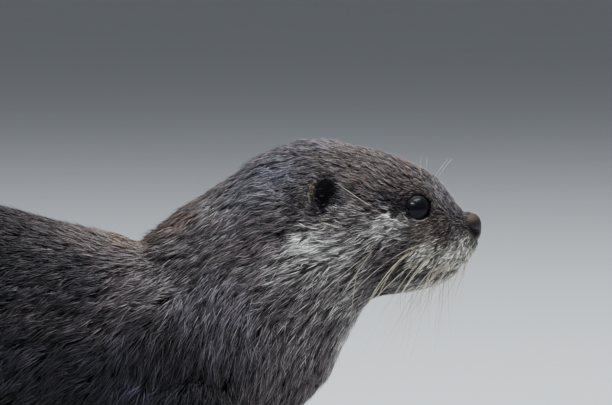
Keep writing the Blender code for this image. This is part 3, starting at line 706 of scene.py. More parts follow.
@dataclass
class Skin:
    """The one skin: the solids' outline, drawn in by the coat's depth."""

    pose: Pose
    lie: CoatLie
    closing: float = 0.35 * MM        # how far each solid grows, to close the cuts
    voxel: float = 1.0 * MM
    rounds: int = 14                  # of smoothing
    most_triangles: int = 176_000
    mouth_depth: float = 0.65
    mouth_width: float = 0.9
    points: Array = field(init=False)
    triangles: Array = field(init=False)
    normals: Array = field(init=False)

    def build(self) -> Object:
        """Makes the skin and keeps its arrays for the coat."""
        self.points, self.triangles = self._united()
        self._smooth(self.rounds)
        self._thin_out()
        self._draw_in()
        self._smooth(3)
        self._shape_face()
        self.normals = point_normals(self.points, self.triangles)
        skin = new_piece("skin", self.points, self.triangles, Slot.COAT)
        plain = self.pose.to_plain(self.points)
        masks = markings(plain)
        set_values(skin, {mark.value: values for mark, values in masks.items()})
        facing, reach = ear_reach(plain)
        cup = smoothstep((1.2 - reach) / 0.3) * smoothstep(facing + 6)
        pale = np.maximum(masks[Mark.CREAM], masks[Mark.PALE])
        tip = 0.12 + 0.4 * pale + 0.4 * lid_rim(plain) + 0.6 * cup
        set_values(skin, {"tip": tip, "tone": np.ones(len(self.points))})
        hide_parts(*FLESH)
        return skin

    def _united(self) -> tuple[Array, Array]:
        """All flesh as one closed surface: copies of the solids, grown a little and remeshed."""
        parts = []
        for name in [*FLESH, "nose"]:
            bm = bmesh.new()
            bm.from_mesh(bpy.data.objects[name].data)
            bmesh.ops.remove_doubles(bm, verts=bm.verts, dist=1e-6)
            copy = bpy.data.meshes.new(name + "_copy")
            bm.to_mesh(copy)
            bm.free()
            points, triangles = mesh_arrays(copy)
            parts.append((points + point_normals(points, triangles) * self.closing, triangles))
            bpy.data.meshes.remove(copy)
        source = new_piece("flesh", *merged_parts(parts), Slot.COAT)
        remesh = source.modifiers.new("one_surface", "REMESH")
        remesh.mode = "VOXEL"
        remesh.voxel_size = self.voxel
        return self._applied(source)

    @staticmethod
    def _applied(source: Object) -> tuple[Array, Array]:
        """The arrays of an object with its modifiers, which is then removed."""
        graph = bpy.context.evaluated_depsgraph_get()
        mesh = bpy.data.meshes.new_from_object(source.evaluated_get(graph))
        arrays = mesh_arrays(mesh)
        bpy.data.meshes.remove(mesh)
        bpy.data.meshes.remove(source.data)
        return arrays

    def _smooth(self, rounds: int) -> None:
        """Evens out the surface: each round moves points in to their neighbours' mean and out."""
        sides = np.concatenate([self.triangles[:, pair] for pair in ([0, 1], [1, 2], [2, 0])])
        sides = np.unique(np.sort(sides, axis=1), axis=0)
        ends = np.concatenate([sides, sides[:, ::-1]])
        own, most = ends[:, 0], len(self.points)
        count = np.bincount(own, minlength=most)[:, None]
        for step in (0.5, -0.52) * rounds:
            near = self.points[ends[:, 1]].T
            total = np.stack([np.bincount(own, weights=row, minlength=most) for row in near], axis=1)
            self.points = self.points + step * (total / np.maximum(count, 1) - self.points)

    def _thin_out(self) -> None:
        """Fewer triangles on the trunk, and all of them on the head, the ears and the feet."""
        if len(self.triangles) <= self.most_triangles:
            return
        plain = self.pose.to_plain(self.points)
        on_head, on_feet = (self.pose.ahead(plain) - 50) / 20, (24 - plain[:, 2]) / 6
        fine = np.maximum(smoothstep(on_head), smoothstep(on_feet))
        source = new_piece("surface", self.points, self.triangles, Slot.COAT)
        group = source.vertex_groups.new(name="spare")
        for level in range(11):
            chosen = np.flatnonzero(np.round((1 - fine) * 10) == level)
            group.add(chosen.tolist(), level / 10, "REPLACE")
        fewer = source.modifiers.new("fewer", "DECIMATE")
        fewer.ratio = self.most_triangles / len(self.triangles)
        fewer.vertex_group = group.name
        self.points, self.triangles = self._applied(source)

    def _draw_in(self) -> None:
        """Moves each point inwards by the coat's depth there, and by what the solids grew."""
        plain = self.pose.to_plain(self.points)
        depth = self.lie.sizes_at(plain)[:, 2] * MM
        depth *= smoothstep((nose_reach(plain, 1.0) - 1) / 0.7)
        inwards = point_normals(self.points, self.triangles)
        self.points = self.points - inwards * (depth + self.closing)[:, None]

    def _shape_face(self) -> None:
        """Adds the folds, and presses in the line of the mouth from its middle to its corners."""
        plain = self.pose.to_plain(self.points)
        height = -mouth_share(plain, self.mouth_width) * self.mouth_depth
        for fold in FOLDS:
            reach = np.linalg.norm((folded(plain) - fold.place) / fold.radii, axis=1)
            height += fold.rise * smoothstep(1.3 - reach)
        normals = point_normals(self.points, self.triangles)
        self.points = self.points + normals * (height * MM)[:, None]


def nose_reach(plain: Array, margin: float | Array) -> Array:
    """How far off the nose pad's centre each point lies: 1 on its surface, grown by the margin."""
    place = np.abs(plain - Head.NOSE_CENTRE) / (np.array(Head.NOSE_RADII) + margin)
    return np.sum(place**Head.NOSE_FULLNESS, axis=1) ** (1 / Head.NOSE_FULLNESS)


def mouth_share(plain: Array, width: float) -> Array:
    """1 on the line of the mouth, falling as a bell curve over the width above and below it."""
    line = np.array(Head.MOUTH_LINE)[::-1]
    height = plain[:, 2] - np.interp(plain[:, 0], line[:, 0], line[:, 1])
    ahead = smoothstep((plain[:, 0] - Head.MOUTH_BACK_X) / 4)
    return bell(height / width) * ahead


# ---------------------------------------------------------------------------------- coat


class Wrap(NamedTuple):
    """A line through a length of the body, round which its skin is unwrapped."""

    line: tuple[tuple[float, float], ...]      # x, z
    y: float = 0.0


class Region(Enum):
    """Pieces of the coat."""

    FACE = "coat_face"
    HEAD = "coat_head"
    NECK = "coat_neck"
    SHOULDER_RIGHT = "coat_shoulder_right"
    SHOULDER_LEFT = "coat_shoulder_left"
    BARREL = "coat_barrel"
    HIPS = "coat_hips"
    TAIL = "coat_tail"
    LEGS = "coat_legs"


WRAPS = {
    Region.FACE: Wrap(((0, 137), (-50, 142))),
    Region.HEAD: Wrap(((-40, 141), (-95, 140))),
    Region.NECK: Wrap(((-70, 140), (-125, 92))),
    Region.SHOULDER_RIGHT: Wrap(((-100, 88), (-220, 94))),
    Region.SHOULDER_LEFT: Wrap(((-100, 88), (-220, 94))),
    Region.BARREL: Wrap(((-210, 94), (-310, 102))),
    Region.HIPS: Wrap(((-300, 102), (-400, 86))),
    Region.TAIL: Wrap(((-395, 86), (-440, 65), (-490, 40), (-550, 21), (-622, 13), (-692, 10))),
    Region.LEGS: Wrap(((-360, 60), (-360, 0)), 41),
}
FACE_BACK_X = -44.0
HEAD_BACK = 66.0              # of the distance up the neck
NECK_BACK = 18.0
SHOULDERS_BACK_X = -212.0
BARREL_BACK_X = -300.0
HIPS_BACK_X = -398.0
LEG_TOP_Z = 38.0
HEEL_X = -412.0
TAIL_HALF_WIDTH = 25.0


def regions_of(plain: Array, pose: Pose) -> Array:
    """The number, in Region's order, of the piece of coat that each plain point belongs to."""
    x, y, z = plain[:, 0], np.abs(plain[:, 1]), plain[:, 2]
    ahead = pose.ahead(plain)
    tail = (x < HIPS_BACK_X) & ~((z < LEG_TOP_Z) & (x > HEEL_X) & (y > TAIL_HALF_WIDTH))
    legs = (z < LEG_TOP_Z) & ~tail
    tests = [
        (Region.LEGS, legs),
        (Region.TAIL, tail),
        (Region.FACE, x > FACE_BACK_X),
        (Region.HEAD, ahead > HEAD_BACK),
        (Region.NECK, ahead > NECK_BACK),
        (Region.SHOULDER_RIGHT, (x > SHOULDERS_BACK_X) & (plain[:, 1] < 0)),
        (Region.SHOULDER_LEFT, x > SHOULDERS_BACK_X),
        (Region.BARREL, x > BARREL_BACK_X),
        (Region.HIPS, np.ones(len(x), bool)),
    ]
    order = list(Region)
    return np.select([test for _, test in tests], [order.index(region) for region, _ in tests])


@dataclass
class Coat:
    """The coat: closed spindles over the skin, in locks that follow the lie of the fur."""

    pose: Pose
    lie: CoatLie
    skin: Skin
    most_tufts: int = 33_000          # in one piece
    fineness: float = 1.0             # scales the number of tufts
    widest_at: float = 0.42           # share of its length where a tuft is widest
    lock_size: float = 0.50           # of a lock, against the length of its tufts
    gathering: float = 0.70           # how far the tips of a lock are drawn together
    broad_gathering: float = 0.50     # of that, for the broad tufts that cover the skin
    fine_share: float = 0.64          # of the tufts are fine hairs
    loose_share: float = 0.16         # of those stand off the rest
    floor_gap: float = 0.2 * MM
    sole: float = 1.2                 # height under which no fur grows
    patch: float = 0.003              # size of a tuft on the bake's unwrap
    spindle: Array = field(default_factory=lambda: np.array(
        [[1, 3, 4], [3, 2, 4], [2, 1, 4], [3, 1, 0], [2, 3, 0], [1, 2, 0]]))

    def build(self) -> list[Object]:
        """All pieces of the coat, one for each region."""
        corners = self.skin.points[self.skin.triangles]
        centres = self.pose.to_plain(corners.mean(axis=1))
        cross = np.cross(corners[:, 1] - corners[:, 0], corners[:, 2] - corners[:, 0])
        area = np.linalg.norm(cross, axis=1) / 2
        wanted = area / MM**2 * self.lie.sizes_at(centres)[:, 3] * self.fineness
        region = regions_of(centres, self.pose)
        pieces = []
        for number, name in enumerate(Region):
            chosen = np.flatnonzero(region == number)
            rng = np.random.default_rng(COAT_SEED + number)
            pieces.append(self._piece(name, chosen, wanted[chosen], rng))
        return pieces

    def _piece(self, region: Region, chosen: Array, wanted: Array, rng: Chance) -> Object:
        """One piece of the coat.

        Args:
            region: The piece.
            chosen: Numbers of the skin's triangles that it grows on.
            wanted: How many tufts each of them should have.
            rng: The piece's own source of chance.

        Returns:
            The new piece.
        """
        count = int(min(wanted.sum(), self.most_tufts))
        roots, normals = self._roots(chosen, wanted, count, rng)
        plain = self.pose.to_plain(roots)
        kept = self._kept(plain)
        roots, normals, plain = roots[kept], normals[kept], plain[kept]
        points, values = self._tufts(roots, normals, plain, rng)
        faces = (np.arange(len(roots))[:, None, None] * 5 + self.spindle[None]).reshape(-1, 3)
        piece = new_piece(region.value, points.reshape(-1, 3), faces, Slot.COAT)
        set_values(piece, values)
        self._unwrap(piece, region, plain)
        LOG.info("%s: %d tufts wanted, %d made", region.value, wanted.sum(), len(roots))
        return piece

    def _roots(
        self, chosen: Array, wanted: Array, count: int, rng: Chance
    ) -> tuple[Array, Array]:
        """Points spread over the triangles by the number wanted, and the skin's normals there.

        One point falls in each equal share of the running total of wanted tufts.
        """
        total = np.cumsum(wanted)
        at = (np.arange(count) + rng.random(count)) / count * total[-1]
        corners = self.skin.triangles[chosen[np.searchsorted(total, at)]]
        a, b = np.sqrt(rng.random(count)), rng.random(count)
        share = np.stack([1 - a, a * (1 - b), a * b], axis=1)[:, :, None]
        roots = np.sum(self.skin.points[corners] * share, axis=1)
        return roots, unit(np.sum(self.skin.normals[corners] * share, axis=1))

    def _kept(self, plain: Array) -> Array:
        """False where no fur grows: the eyes' openings, nose, ears' cups, soles and lips."""
        kept = plain[:, 2] > self.sole
        own = scattered(np.floor(plain * 40), Seed.BALD)
        for side in Side:
            bare = (RIM_WIDTH - 0.3) * sector_at(plain, side) * (own[:, 0] > 0.35)
            kept &= face_distance(plain, side) > Head.LID_REACH + bare
        behind = plain[:, :1] < Head.NOSE_CENTRE[0] + 1.5
        kept &= nose_reach(plain, np.where(behind, -0.6, 0.5)) > 1
        kept &= mouth_share(plain, 0.4) < 0.5
        facing, reach = ear_reach(plain)
        return kept & ~((reach < 0.84) & (facing > -5) & (own[:, 1] > 0.22))

    def _locks(self, roots: Array, size: Array) -> tuple[Array, Array]:
        """The middle of each root's lock, and three numbers of chance that the lock shares.

        Locks are the cells round the shaken corners of a grid, so a root's lock is its nearest.
        """
        place = roots / size[:, None]
        cell = np.floor(place)
        nearest = np.full(len(roots), np.inf)
        middle, chance = np.zeros_like(roots), np.zeros_like(roots)
        for step in itertools.product((-1, 0, 1), repeat=3):
            corner = cell + step
            shaken = corner + scattered(corner, Seed.LOCK)
            gap = np.sum((place - shaken) ** 2, axis=1)
            closer = gap < nearest
            nearest = np.where(closer, gap, nearest)
            middle = np.where(closer[:, None], shaken, middle)
            chance = np.where(closer[:, None], scattered(corner, Seed.SHARED), chance)
        return middle * size[:, None], chance

    def _tufts(
        self, roots: Array, normals: Array, plain: Array, rng: Chance
    ) -> tuple[Array, dict[str, Array]]:
        """The five points of each tuft, and what its colour is worked out from.

        A tuft rises from a point in the skin to a ring of three at its widest, and lies down to
        a point at its tip. Its tip is drawn sideways to the line through its lock's middle. Some
        tufts are broad and low, and the rest are fine hairs that lie over them.
        """
        sizes = self.lie.sizes_at(plain)
        chance = rng.random((len(roots), 8))
        fine = chance[:, 6] < self.fine_share
        length = sizes[:, 0] * MM * (0.72 + 0.5 * chance[:, 0]) * np.where(fine, 1.12, 0.92)
        width = sizes[:, 1] * MM * np.where(fine, 0.36 + 0.22 * chance[:, 1], 0.7 + 0.5 * chance[:, 1])
        depth = sizes[:, 2] * MM
        size = np.exp(np.round(np.log(sizes[:, 0] * MM * self.lock_size) * 2) / 2)
        middle, shared = self._locks(roots, size)
        loose = fine & (chance[:, 7] < self.loose_share)
        along = self.lie.flow_at(plain, normals)
        turn = np.radians(26) * (shared[:, 0] - 0.5)
        turn += np.radians(np.where(loose, 60, 18)) * (chance[:, 2] - 0.5)
        turn += np.radians(15) * soft_noise(roots, 0.016, Seed.TURN)
        along, across = turned(along, np.cross(normals, along), turn)
        offset = roots - middle
        gathering = self.gathering * np.where(fine, 1, self.broad_gathering)
        sideways = dots(offset, across)[:, 0] * gathering
        forwards = dots(offset, along)[:, 0] * gathering * 0.6
        lift = 0.28 + 0.42 * shared[:, 1] + 0.2 * chance[:, 3] + np.where(fine, 0.2, 0)
        ring = roots + along * (length * self.widest_at)[:, None]
        ring += normals * (depth * lift * 0.8)[:, None] - across * (sideways * 0.35)[:, None]
        tip = roots + along * (length - forwards)[:, None] - across * sideways[:, None]
        rise = lift * 0.9 + np.where(loose, 0.75, 0.25) * chance[:, 4] * fine
        tip += normals * (depth * rise)[:, None]
        flat, _ = turned(across, normals, np.radians(60) * (chance[:, 5] - 0.5))
        top = np.cross(along, flat)
        half = (width / 2)[:, None]
        ring_points = [ring + flat * half, ring - flat * half, ring + top * half * 0.7]
        points = np.stack([roots - normals * 0.3 * MM, *ring_points, tip], axis=1)
        points[..., 2] = np.maximum(points[..., 2], self.floor_gap)
        return points, self._values(plain, roots, shared, chance, fine)

    @staticmethod
    def _values(
        plain: Array, roots: Array, shared: Array, chance: Array, fine: Array
    ) -> dict[str, Array]:
        """What each point's colour comes from: markings with painted shade and highlights, the way to the
        tip, and the tuft's tone.
        """
        ones = np.ones(5)
        sideways = np.outer(chance[:, 2] - 0.5, (0, 1, 0))
        strayed = plain + sideways * 7 + 5 * (shared - 0.5)
        values = {}
        for number, (mark, mask) in enumerate(markings(strayed).items()):
            own = scattered(roots * 7000, number)[:, 0]
            streak = 0.15 + 0.85 * smoothstep((1.25 * mask - own) / 0.3 + 0.2)
            values[mark.value] = np.outer(mask * streak, ones)
        tone = 0.13 + 0.52 * shared[:, 1] + 0.20 * soft_noise(roots, 0.011, Seed.TONE)
        tone += np.where(fine, 0.05 + 3.8 * chance[:, 3] ** 3.2, 0.25 * chance[:, 3])
        values["tone"] = np.outer(tone, ones)
        bright = np.maximum(values["pale"], values["cream"])[:, :1]
        way = np.array([[0.0, 0.40, 0.40, 0.45, 1.0]])
        values["tip"] = way + bright * [[0.22, 0.25, 0.25, 0.25, 0.0]]
        return values

    def _unwrap(self, piece: Object, region: Region, plain: Array) -> None:
        """Lays each tuft's patch at its root's place on an unwrap of the skin round its line.

        One way over the map goes along the line, the other round it, and both are evened out, so
        that the roots fill the square.
        """
        wrap = WRAPS[region]
        along, turn = unwrapped(plain, wrap)
        if region is Region.LEGS:
            leg = (plain[:, 0] > -250).astype(int) * 2 + (plain[:, 1] > 0)
            turn = (leg + turn) / 4
            along = plain[:, 2] / LEG_TOP_Z
        order = np.argsort(np.argsort(along)) / max(len(along) - 1, 1)
        corner = np.stack([order, evened(turn)], axis=1) * (1 - self.patch)
        shape = np.array([[0.5, 0.0], [0.0, 0.45], [1.0, 0.45], [0.5, 0.5], [0.5, 1.0]]) * self.patch
        places = (corner[:, None, :] + shape[None])[:, self.spindle.ravel(), :]
        layer = piece.data.uv_layers.new(name="OFBake")
        layer.data.foreach_set("uv", places.astype(np.float32).ravel())


def turned(first: Array, second: Array, angle: Array) -> tuple[Array, Array]:
    """Two square directions of each row, turned in their plane from the first to the second."""
    cos, sin = np.cos(angle)[:, None], np.sin(angle)[:, None]
    return first * cos + second * sin, second * cos - first * sin


def unwrapped(plain: Array, wrap: Wrap) -> tuple[Array, Array]:
    """How far along the wrap's line each point lies, and how far round it, from 0 to 1."""
    line = np.array(wrap.line, float)
    flat = plain[:, [0, 2]]
    nearest = np.full(len(plain), np.inf)
    along, turn = np.zeros(len(plain)), np.zeros(len(plain))
    done = 0.0
    for start, end in zip(line[:-1], line[1:]):
        reach = np.linalg.norm(end - start)
        aim = (end - start) / reach
        at = (flat - start) @ aim
        high = (flat - start) @ np.array([aim[1], -aim[0]])
        gap = np.abs(high) + np.maximum(at - reach, 0) + np.maximum(-at, 0)
        closer = gap < nearest
        nearest = np.where(closer, gap, nearest)
        along = np.where(closer, done + at, along)
        beside = np.abs(plain[:, 1]) - wrap.y if wrap.y else plain[:, 1]
        turn = np.where(closer, np.arctan2(beside, high) / (2 * np.pi) + 0.5, turn)
        done += reach
    return along, turn


def evened(values: Array, steps: int = 256) -> Array:
    """The values spread evenly from 0 to 1, by their share of the count below them."""
    marks = np.quantile(values, np.linspace(0, 1, steps))
    marks += np.linspace(0, 1e-6, steps)
    return np.interp(values, marks, np.linspace(0, 1, steps))


# ---------------------------------------------------------------------------------- face


@dataclass
class Eyes:
    """Eyeballs and lids."""

    pose: Pose
    opening: float = 5.1              # half the height of what shows of the eye
    corner: float = 1.2               # how far the front corner is drawn out
    lid_rise: float = 0.22
    lid_span: float = 0.72
    rows: int = 40
    columns: int = 64
    lid_rows: int = 14
    lid_columns: int = 96

    def build(self) -> list[Object]:
        """Both eyes with their lids."""
        pieces = []
        for side in Side:
            name = side.name.lower()
            eye = new_piece(f"eyeball_{name}", *self._ball(side), Slot.EYE)
            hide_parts(f"eye_{name}")
            lids = new_piece(f"eyelids_{name}", *self._lids(side), Slot.BARE_SKIN)
            set_values(lids, {"low": self._pale_rim()})
            pieces += [eye, lids]
        return pieces

    def _axes(self, side: Side) -> tuple[Array, Array]:
        """The eye's centre, and its ahead, up and outward directions as rows, all plain."""
        out = unit(on_side(Head.EYE_FACES, side))
        up = unit(np.array([0, 0, 1.0]) - out[2] * out)
        ahead = np.cross(up, out) * side.value
        ahead = ahead if ahead[0] > 0 else -ahead
        return on_side(Head.EYE_SEAT, side), np.array([ahead, up, out])

    def _placed(self, local: Array, side: Side, faces: Array) -> tuple[Array, Array]:
        """Local points in the frame, with the faces of the mirrored side turned over."""
        centre, axes = self._axes(side)
        points = self.pose.to_frame(centre + local @ axes)
        corners = points[faces[len(faces) // 2]]
        normal = np.cross(corners[1] - corners[0], corners[2] - corners[0])
        outwards = corners.mean(axis=0) - self.pose.to_frame([centre])[0]
        return points, faces if normal @ outwards > 0 else faces[:, ::-1]

    def _ball(self, side: Side) -> tuple[Array, Array]:
        """A ball about the outward direction: rows of circles from the front pole to the back."""
        polar = np.linspace(0.001, np.pi - 0.001, self.rows)[:, None]
        radius = Head.EYE_RADIUS + 0.25 * bell(polar / 0.6)
        local = around(radius * np.sin(polar), round_turn(self.columns)[None], radius * np.cos(polar))
        return self._placed(local, side, tube_faces(self.rows, self.columns))

    def _lid_grid(self) -> tuple[Array, Array]:
        """The way across the lids, from 0 at the opening to 1, and the angle round them."""
        return np.linspace(0, 1, self.lid_rows)[:, None], round_turn(self.lid_columns)[None]

    def _lids(self, side: Side) -> tuple[Array, Array]:
        """A ring round the opening: it leaves the ball, swells, and dips under the coat."""
        across, turn = self._lid_grid()
        front, back = bell(wrapped(turn + 0.5) / 0.34), bell(wrapped(turn - np.pi + 0.2) / 0.4)
        half = self.opening * (1 - 0.05 * np.abs(np.sin(turn))) + self.corner * front + 0.45 * back
        edge = np.arcsin(np.minimum(half / (Head.EYE_RADIUS + 0.6), 0.96))
        polar = edge + across * self.lid_span
        swell = self.lid_rise * np.sin(np.pi * np.minimum(across * 1.6, 1)) ** 0.7
        radius = Head.EYE_RADIUS + (0.04 + swell + 0.5 * across * (1 - across))
        local = around(radius * np.sin(polar), turn, radius * np.cos(polar))
        return self._placed(local, side, tube_faces(self.lid_rows, self.lid_columns))

    def _pale_rim(self) -> Array:
        """1 on the outer part of the lower lid, where its edge is pale, and 0 elsewhere."""
        across, turn = self._lid_grid()
        return (lid_sector(turn) * smoothstep((across - 0.06) / 0.12)).ravel()


def wrapped(angle: Array) -> Array:
    """The same angles between minus half a turn and half a turn."""
    return np.angle(np.exp(1j * angle))


@dataclass
class Nose:
    """The bare nose pad."""

    pose: Pose
    rows: int = 72
    columns: int = 96
    taper: float = 0.22               # how much narrower it is below than above
    proud: float = 0.15
    nostril: Point = (-2.2, 5.0, 138.4)
    nostril_reach: float = 2.0
    slit: Point = (-2.2, 2.1, 0.6)    # of the slit behind a nostril, from the nostril
    slit_radii: Point = (1.8, 1.0, 0.8)
    slit_reach: float = 1.5
    slit_share: float = 0.85          # of a nostril's depth
    depth: float = 2.6
    groove_depth: float = 0.55

    def build(self) -> Object:
        """The pad: a squared ball with nostrils, side slits and a groove down its middle."""
        lat, turn = np.linspace(0.02, np.pi - 0.02, self.rows)[:, None], round_turn(self.columns)[None]
        ball = around(np.sin(lat), turn, -np.cos(lat))[:, [0, 2, 1]]
        power = Head.NOSE_FULLNESS
        shape = ball / np.sum(np.abs(ball) ** power, axis=1, keepdims=True) ** (1 / power)
        shape[:, 1] *= 1 - self.taper * smoothstep(0.5 - shape[:, 2])
        plain = shape * (np.array(Head.NOSE_RADII) + self.proud) + Head.NOSE_CENTRE
        hollow = self._hollow(plain)
        middle = Head.NOSE_CENTRE[2]
        groove = bell(plain[:, 1] / 0.5) * smoothstep((middle - 0.5 - plain[:, 2]) / 2)
        inwards = unit(plain - np.array(Head.NOSE_CENTRE) + (2.5, 0, 0))
        plain = plain - inwards * (hollow * self.depth + groove * self.groove_depth)[:, None]
        faces = tube_faces(self.rows, self.columns)
        nose = new_piece("nose_pad", self.pose.to_frame(plain), faces, Slot.BARE_SKIN)
        face_outwards(nose)
        # hollow carries painted shade into the nostrils and slits; top, where the pad faces up, is partly
        # its own brown and partly painted light from above.
        set_values(nose, {
            "hollow": np.minimum(1.7 * hollow, 1),
            "top": smoothstep((plain[:, 2] - 0.25 * plain[:, 0] - middle - 2) / 4),
            "low": smoothstep((middle - 1.5 - plain[:, 2]) / 3) * (1 - hollow),
        })
        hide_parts("nose")
        return nose

    def _hollow(self, plain: Array) -> Array:
        """1 in the nostrils, less in the slits behind them, and 0 elsewhere."""
        hollow = np.zeros(len(plain))
        for side in Side:
            centre = on_side(self.nostril, side)
            away = np.linalg.norm((plain - centre) / (1.0, 1.0, 0.8), axis=1)
            hollow = np.maximum(hollow, np.exp(-((away / self.nostril_reach) ** 2.6)))
            slit = centre + on_side(self.slit, side)
            away = np.linalg.norm((plain - slit) / self.slit_radii, axis=1)
            hollow = np.maximum(hollow, self.slit_share * bell(away / self.slit_reach))
        return hollow


def face_outwards(obj: Object) -> None:
    """Fills the holes of a piece, turns its faces outwards and shades them smooth."""
    bm = bmesh.new()
    bm.from_mesh(obj.data)
    bmesh.ops.holes_fill(bm, edges=bm.edges)
    bmesh.ops.recalc_face_normals(bm, faces=bm.faces)
    bm.to_mesh(obj.data)
    bm.free()
    obj.data.polygons.foreach_set("use_smooth", np.ones(len(obj.data.polygons), bool))


class HairGroup(NamedTuple):
    """Long single hairs that grow from a patch of the face."""

    start: Point          # plain; the roots run from start to end
    end: Point
    spread: float
    count: int
    aim: Point            # the way they leave the skin, with y outwards
    droop: Point          # where they bend to
    length: tuple[float, float]
    width: float
    loose: float = 0.15   # how far each hair's way strays from the group's


HAIRS = {
    "pad_rear": HairGroup((-20, 20, 133), (-30, 25, 131), 1.6, 5,
        (-0.80, 0.45, -0.32), (-0.05, -0.30, -0.60), (22, 36), 0.27),
    "pad_middle": HairGroup((-10, 15, 131), (-27, 23, 128.5), 1.8, 8,
        (-0.62, 0.50, -0.45), (-0.08, -0.32, -0.60), (20, 40), 0.25),
    "pad_lower": HairGroup((-8, 13, 128), (-22, 22, 126), 1.8, 8,
        (-0.40, 0.50, -0.60), (-0.15, -0.32, -0.55), (14, 32), 0.21),
    "lip_front": HairGroup((-4, 6, 130), (-12, 15, 127), 1.6, 7,
        (-0.10, 0.40, -0.80), (-0.18, -0.20, -0.40), (10, 26), 0.17),
    "chin": HairGroup((-12, 6, 117), (-34, 14, 112), 2.6, 12,
        (-0.15, 0.30, -0.90), (-0.10, 0.00, -0.30), (8, 26), 0.16),
    "brow_back": HairGroup((-23, 12, 167), (-24, 12, 167), 0.3, 1,
        (-0.05, 0.15, 0.97), (0.02, 0.00, -0.03), (9, 11), 0.18, 0.03),
    "brow_front": HairGroup((-17.8, 10, 165), (-18, 10, 165), 0.3, 1,
        (0.50, 0.20, 0.85), (0.10, 0.00, -0.05), (12, 14), 0.19, 0.03),
    "cheek": HairGroup((-40, 31, 136), (-50, 34, 126), 2.5, 5,
        (-0.60, 0.40, -0.45), (-0.20, -0.20, -0.50), (14, 28), 0.20),
    "temple": HairGroup((-41, 30, 148.6), (-41, 30, 148.6), 0.1, 1,
        (-0.84, 0.40, 0.56), (0.02, -0.12, 0.04), (22, 23), 0.26, 0.01),
    "cheek_high": HairGroup((-53, 34, 141), (-56, 34, 141), 0.4, 2,
        (-0.88, 0.50, 0.12), (0.00, -0.10, 0.05), (13, 17), 0.26, 0.05),
}


@dataclass
class Whiskers:
    """Whiskers, and the long hairs of brow, cheek and chin: tapered tubes that curve down."""

    pose: Pose
    skin: Skin
    rings: int = 12
    sides: int = 5

    def build(self) -> list[Object]:
        """One piece for each side of the head."""
        tree = BVHTree.FromPolygons(self.skin.points.tolist(), self.skin.triangles.tolist())
        return [self._one_side(side, tree) for side in Side]

    def _one_side(self, side: Side, tree: BVHTree) -> Object:
        """All long hairs of one side, joined."""
        rng = np.random.default_rng(WHISKER_SEED + side.value)
        parts = []
        for group in HAIRS.values():
            for number in range(group.count):
                share = (number + 0.5) / group.count
                place = np.array(group.start) * (1 - share) + np.array(group.end) * share
                place = on_side(place + rng.normal(0, group.spread / 2, 3), side)
                found = tree.find_nearest(Vector(self.pose.to_frame([place])[0]))[0]
                parts.append(self._hair(np.array(found), place, group, side, rng))
        piece = new_piece(f"whiskers_{side.name.lower()}", *merged_parts(parts), Slot.WHISKER)
        along = np.repeat(np.linspace(0, 1, self.rings), self.sides)
        set_values(piece, {"tip": np.tile(along, len(parts))})
        return piece

    def _hair(
        self, root: Array, place: Array, group: HairGroup, side: Side, rng: Chance
    ) -> tuple[Array, Array]:
        """One hair: p(t) = root + length (t aim + t^2 droop), with a radius that falls to a point."""
        length = rng.uniform(*group.length)
        ways = [on_side(way + rng.normal(0, group.loose, 3), side) for way in (group.aim, group.droop)]
        aim, droop = (
            self.pose.directions(place[None], way[None])[0] * np.linalg.norm(way) for way in ways
        )
        t = np.linspace(0, 1, self.rings)[:, None]
        line = root + length * MM * (aim * t + droop * t**2)
        forward = unit(aim + 2 * t * droop)
        first = unit(np.cross(forward, [0.3, 0.2, 0.93]))
        second = np.cross(forward, first)
        turn = round_turn(self.sides)[None, :, None]
        radius = (group.width / 2 * MM * (1 - t) ** 0.6 + 0.02 * MM)[:, None, :]
        ring = radius * (np.cos(turn) * first[:, None] + np.sin(turn) * second[:, None])
        return (line[:, None] + ring).reshape(-1, 3), tube_faces(self.rings, self.sides)


class Feet(NamedTuple):
    """A pair of feet, as the claws need them: plain millimetres, and degrees of splay."""

    y: float
    start_x: float
    toe_start: float
    toes: tuple[float, ...]           # lengths, from the inner toe outwards
    palm: float
    splay: float
    toe_radius: float
    steps: dict[Side, float]          # how far ahead each side's foot stands


FEET = (
    Feet(39, -143, 23, (13, 20, 23, 21, 15), 12, 19, 3.3, {Side.RIGHT: 7, Side.LEFT: -8}),
    Feet(42, -395, 47, (16, 25, 28, 26, 19), 14, 17, 3.7, {Side.RIGHT: -9, Side.LEFT: 8}),
)


@dataclass
class Claws:
    """The short blunt claws, which end before the toes' pads do."""

    pose: Pose
    length: float = 2.8
    width: float = 1.4
    droop: float = 1.3
    rings: int = 7
    sides: int = 8

    def build(self) -> Object:
        """All twenty claws as one piece."""
        parts = []
        for feet, side in itertools.product(FEET, Side):
            for number, length in enumerate(feet.toes):
                lean = (number - 2) / 2
                angle = np.radians(feet.splay) * lean * side.value
                aim = np.array([np.cos(angle), np.sin(angle), 0])
                start = feet.start_x + feet.steps[side] + feet.toe_start
                root = np.array([
                    start - 6 * lean**2 - 3 * (number == 0),
                    side.value * (feet.y + lean * feet.palm * 0.74), feet.toe_radius * 1.15,
                ])
                parts.append(self._claw(root + aim * (length - self.length * 0.75), aim))
        claws = new_piece("claws", *merged_parts(parts), Slot.BARE_SKIN)
        face_outwards(claws)
        return claws

    def _claw(self, root: Array, aim: Array) -> tuple[Array, Array]:
        """A cone that curves down: its rings shrink with the root of what is left of its length."""
        t = np.linspace(0, 1, self.rings)[:, None]
        turn = round_turn(self.sides)[None, :, None]
        line = root + aim * self.length * t - np.array([0, 0, 1.0]) * (self.droop * t**2)
        beside = np.array([-aim[1], aim[0], 0])
        radius = (self.width / 2 * np.sqrt(1 - t * 0.98))[:, None, :]
        ring = radius * (np.cos(turn) * beside + np.sin(turn) * np.array([0, 0, 0.9]))
        points = self.pose.to_frame((line[:, None] + ring).reshape(-1, 3))
        return points, tube_faces(self.rings, self.sides)


# ---------------------------------------------------------------------------------- finishes


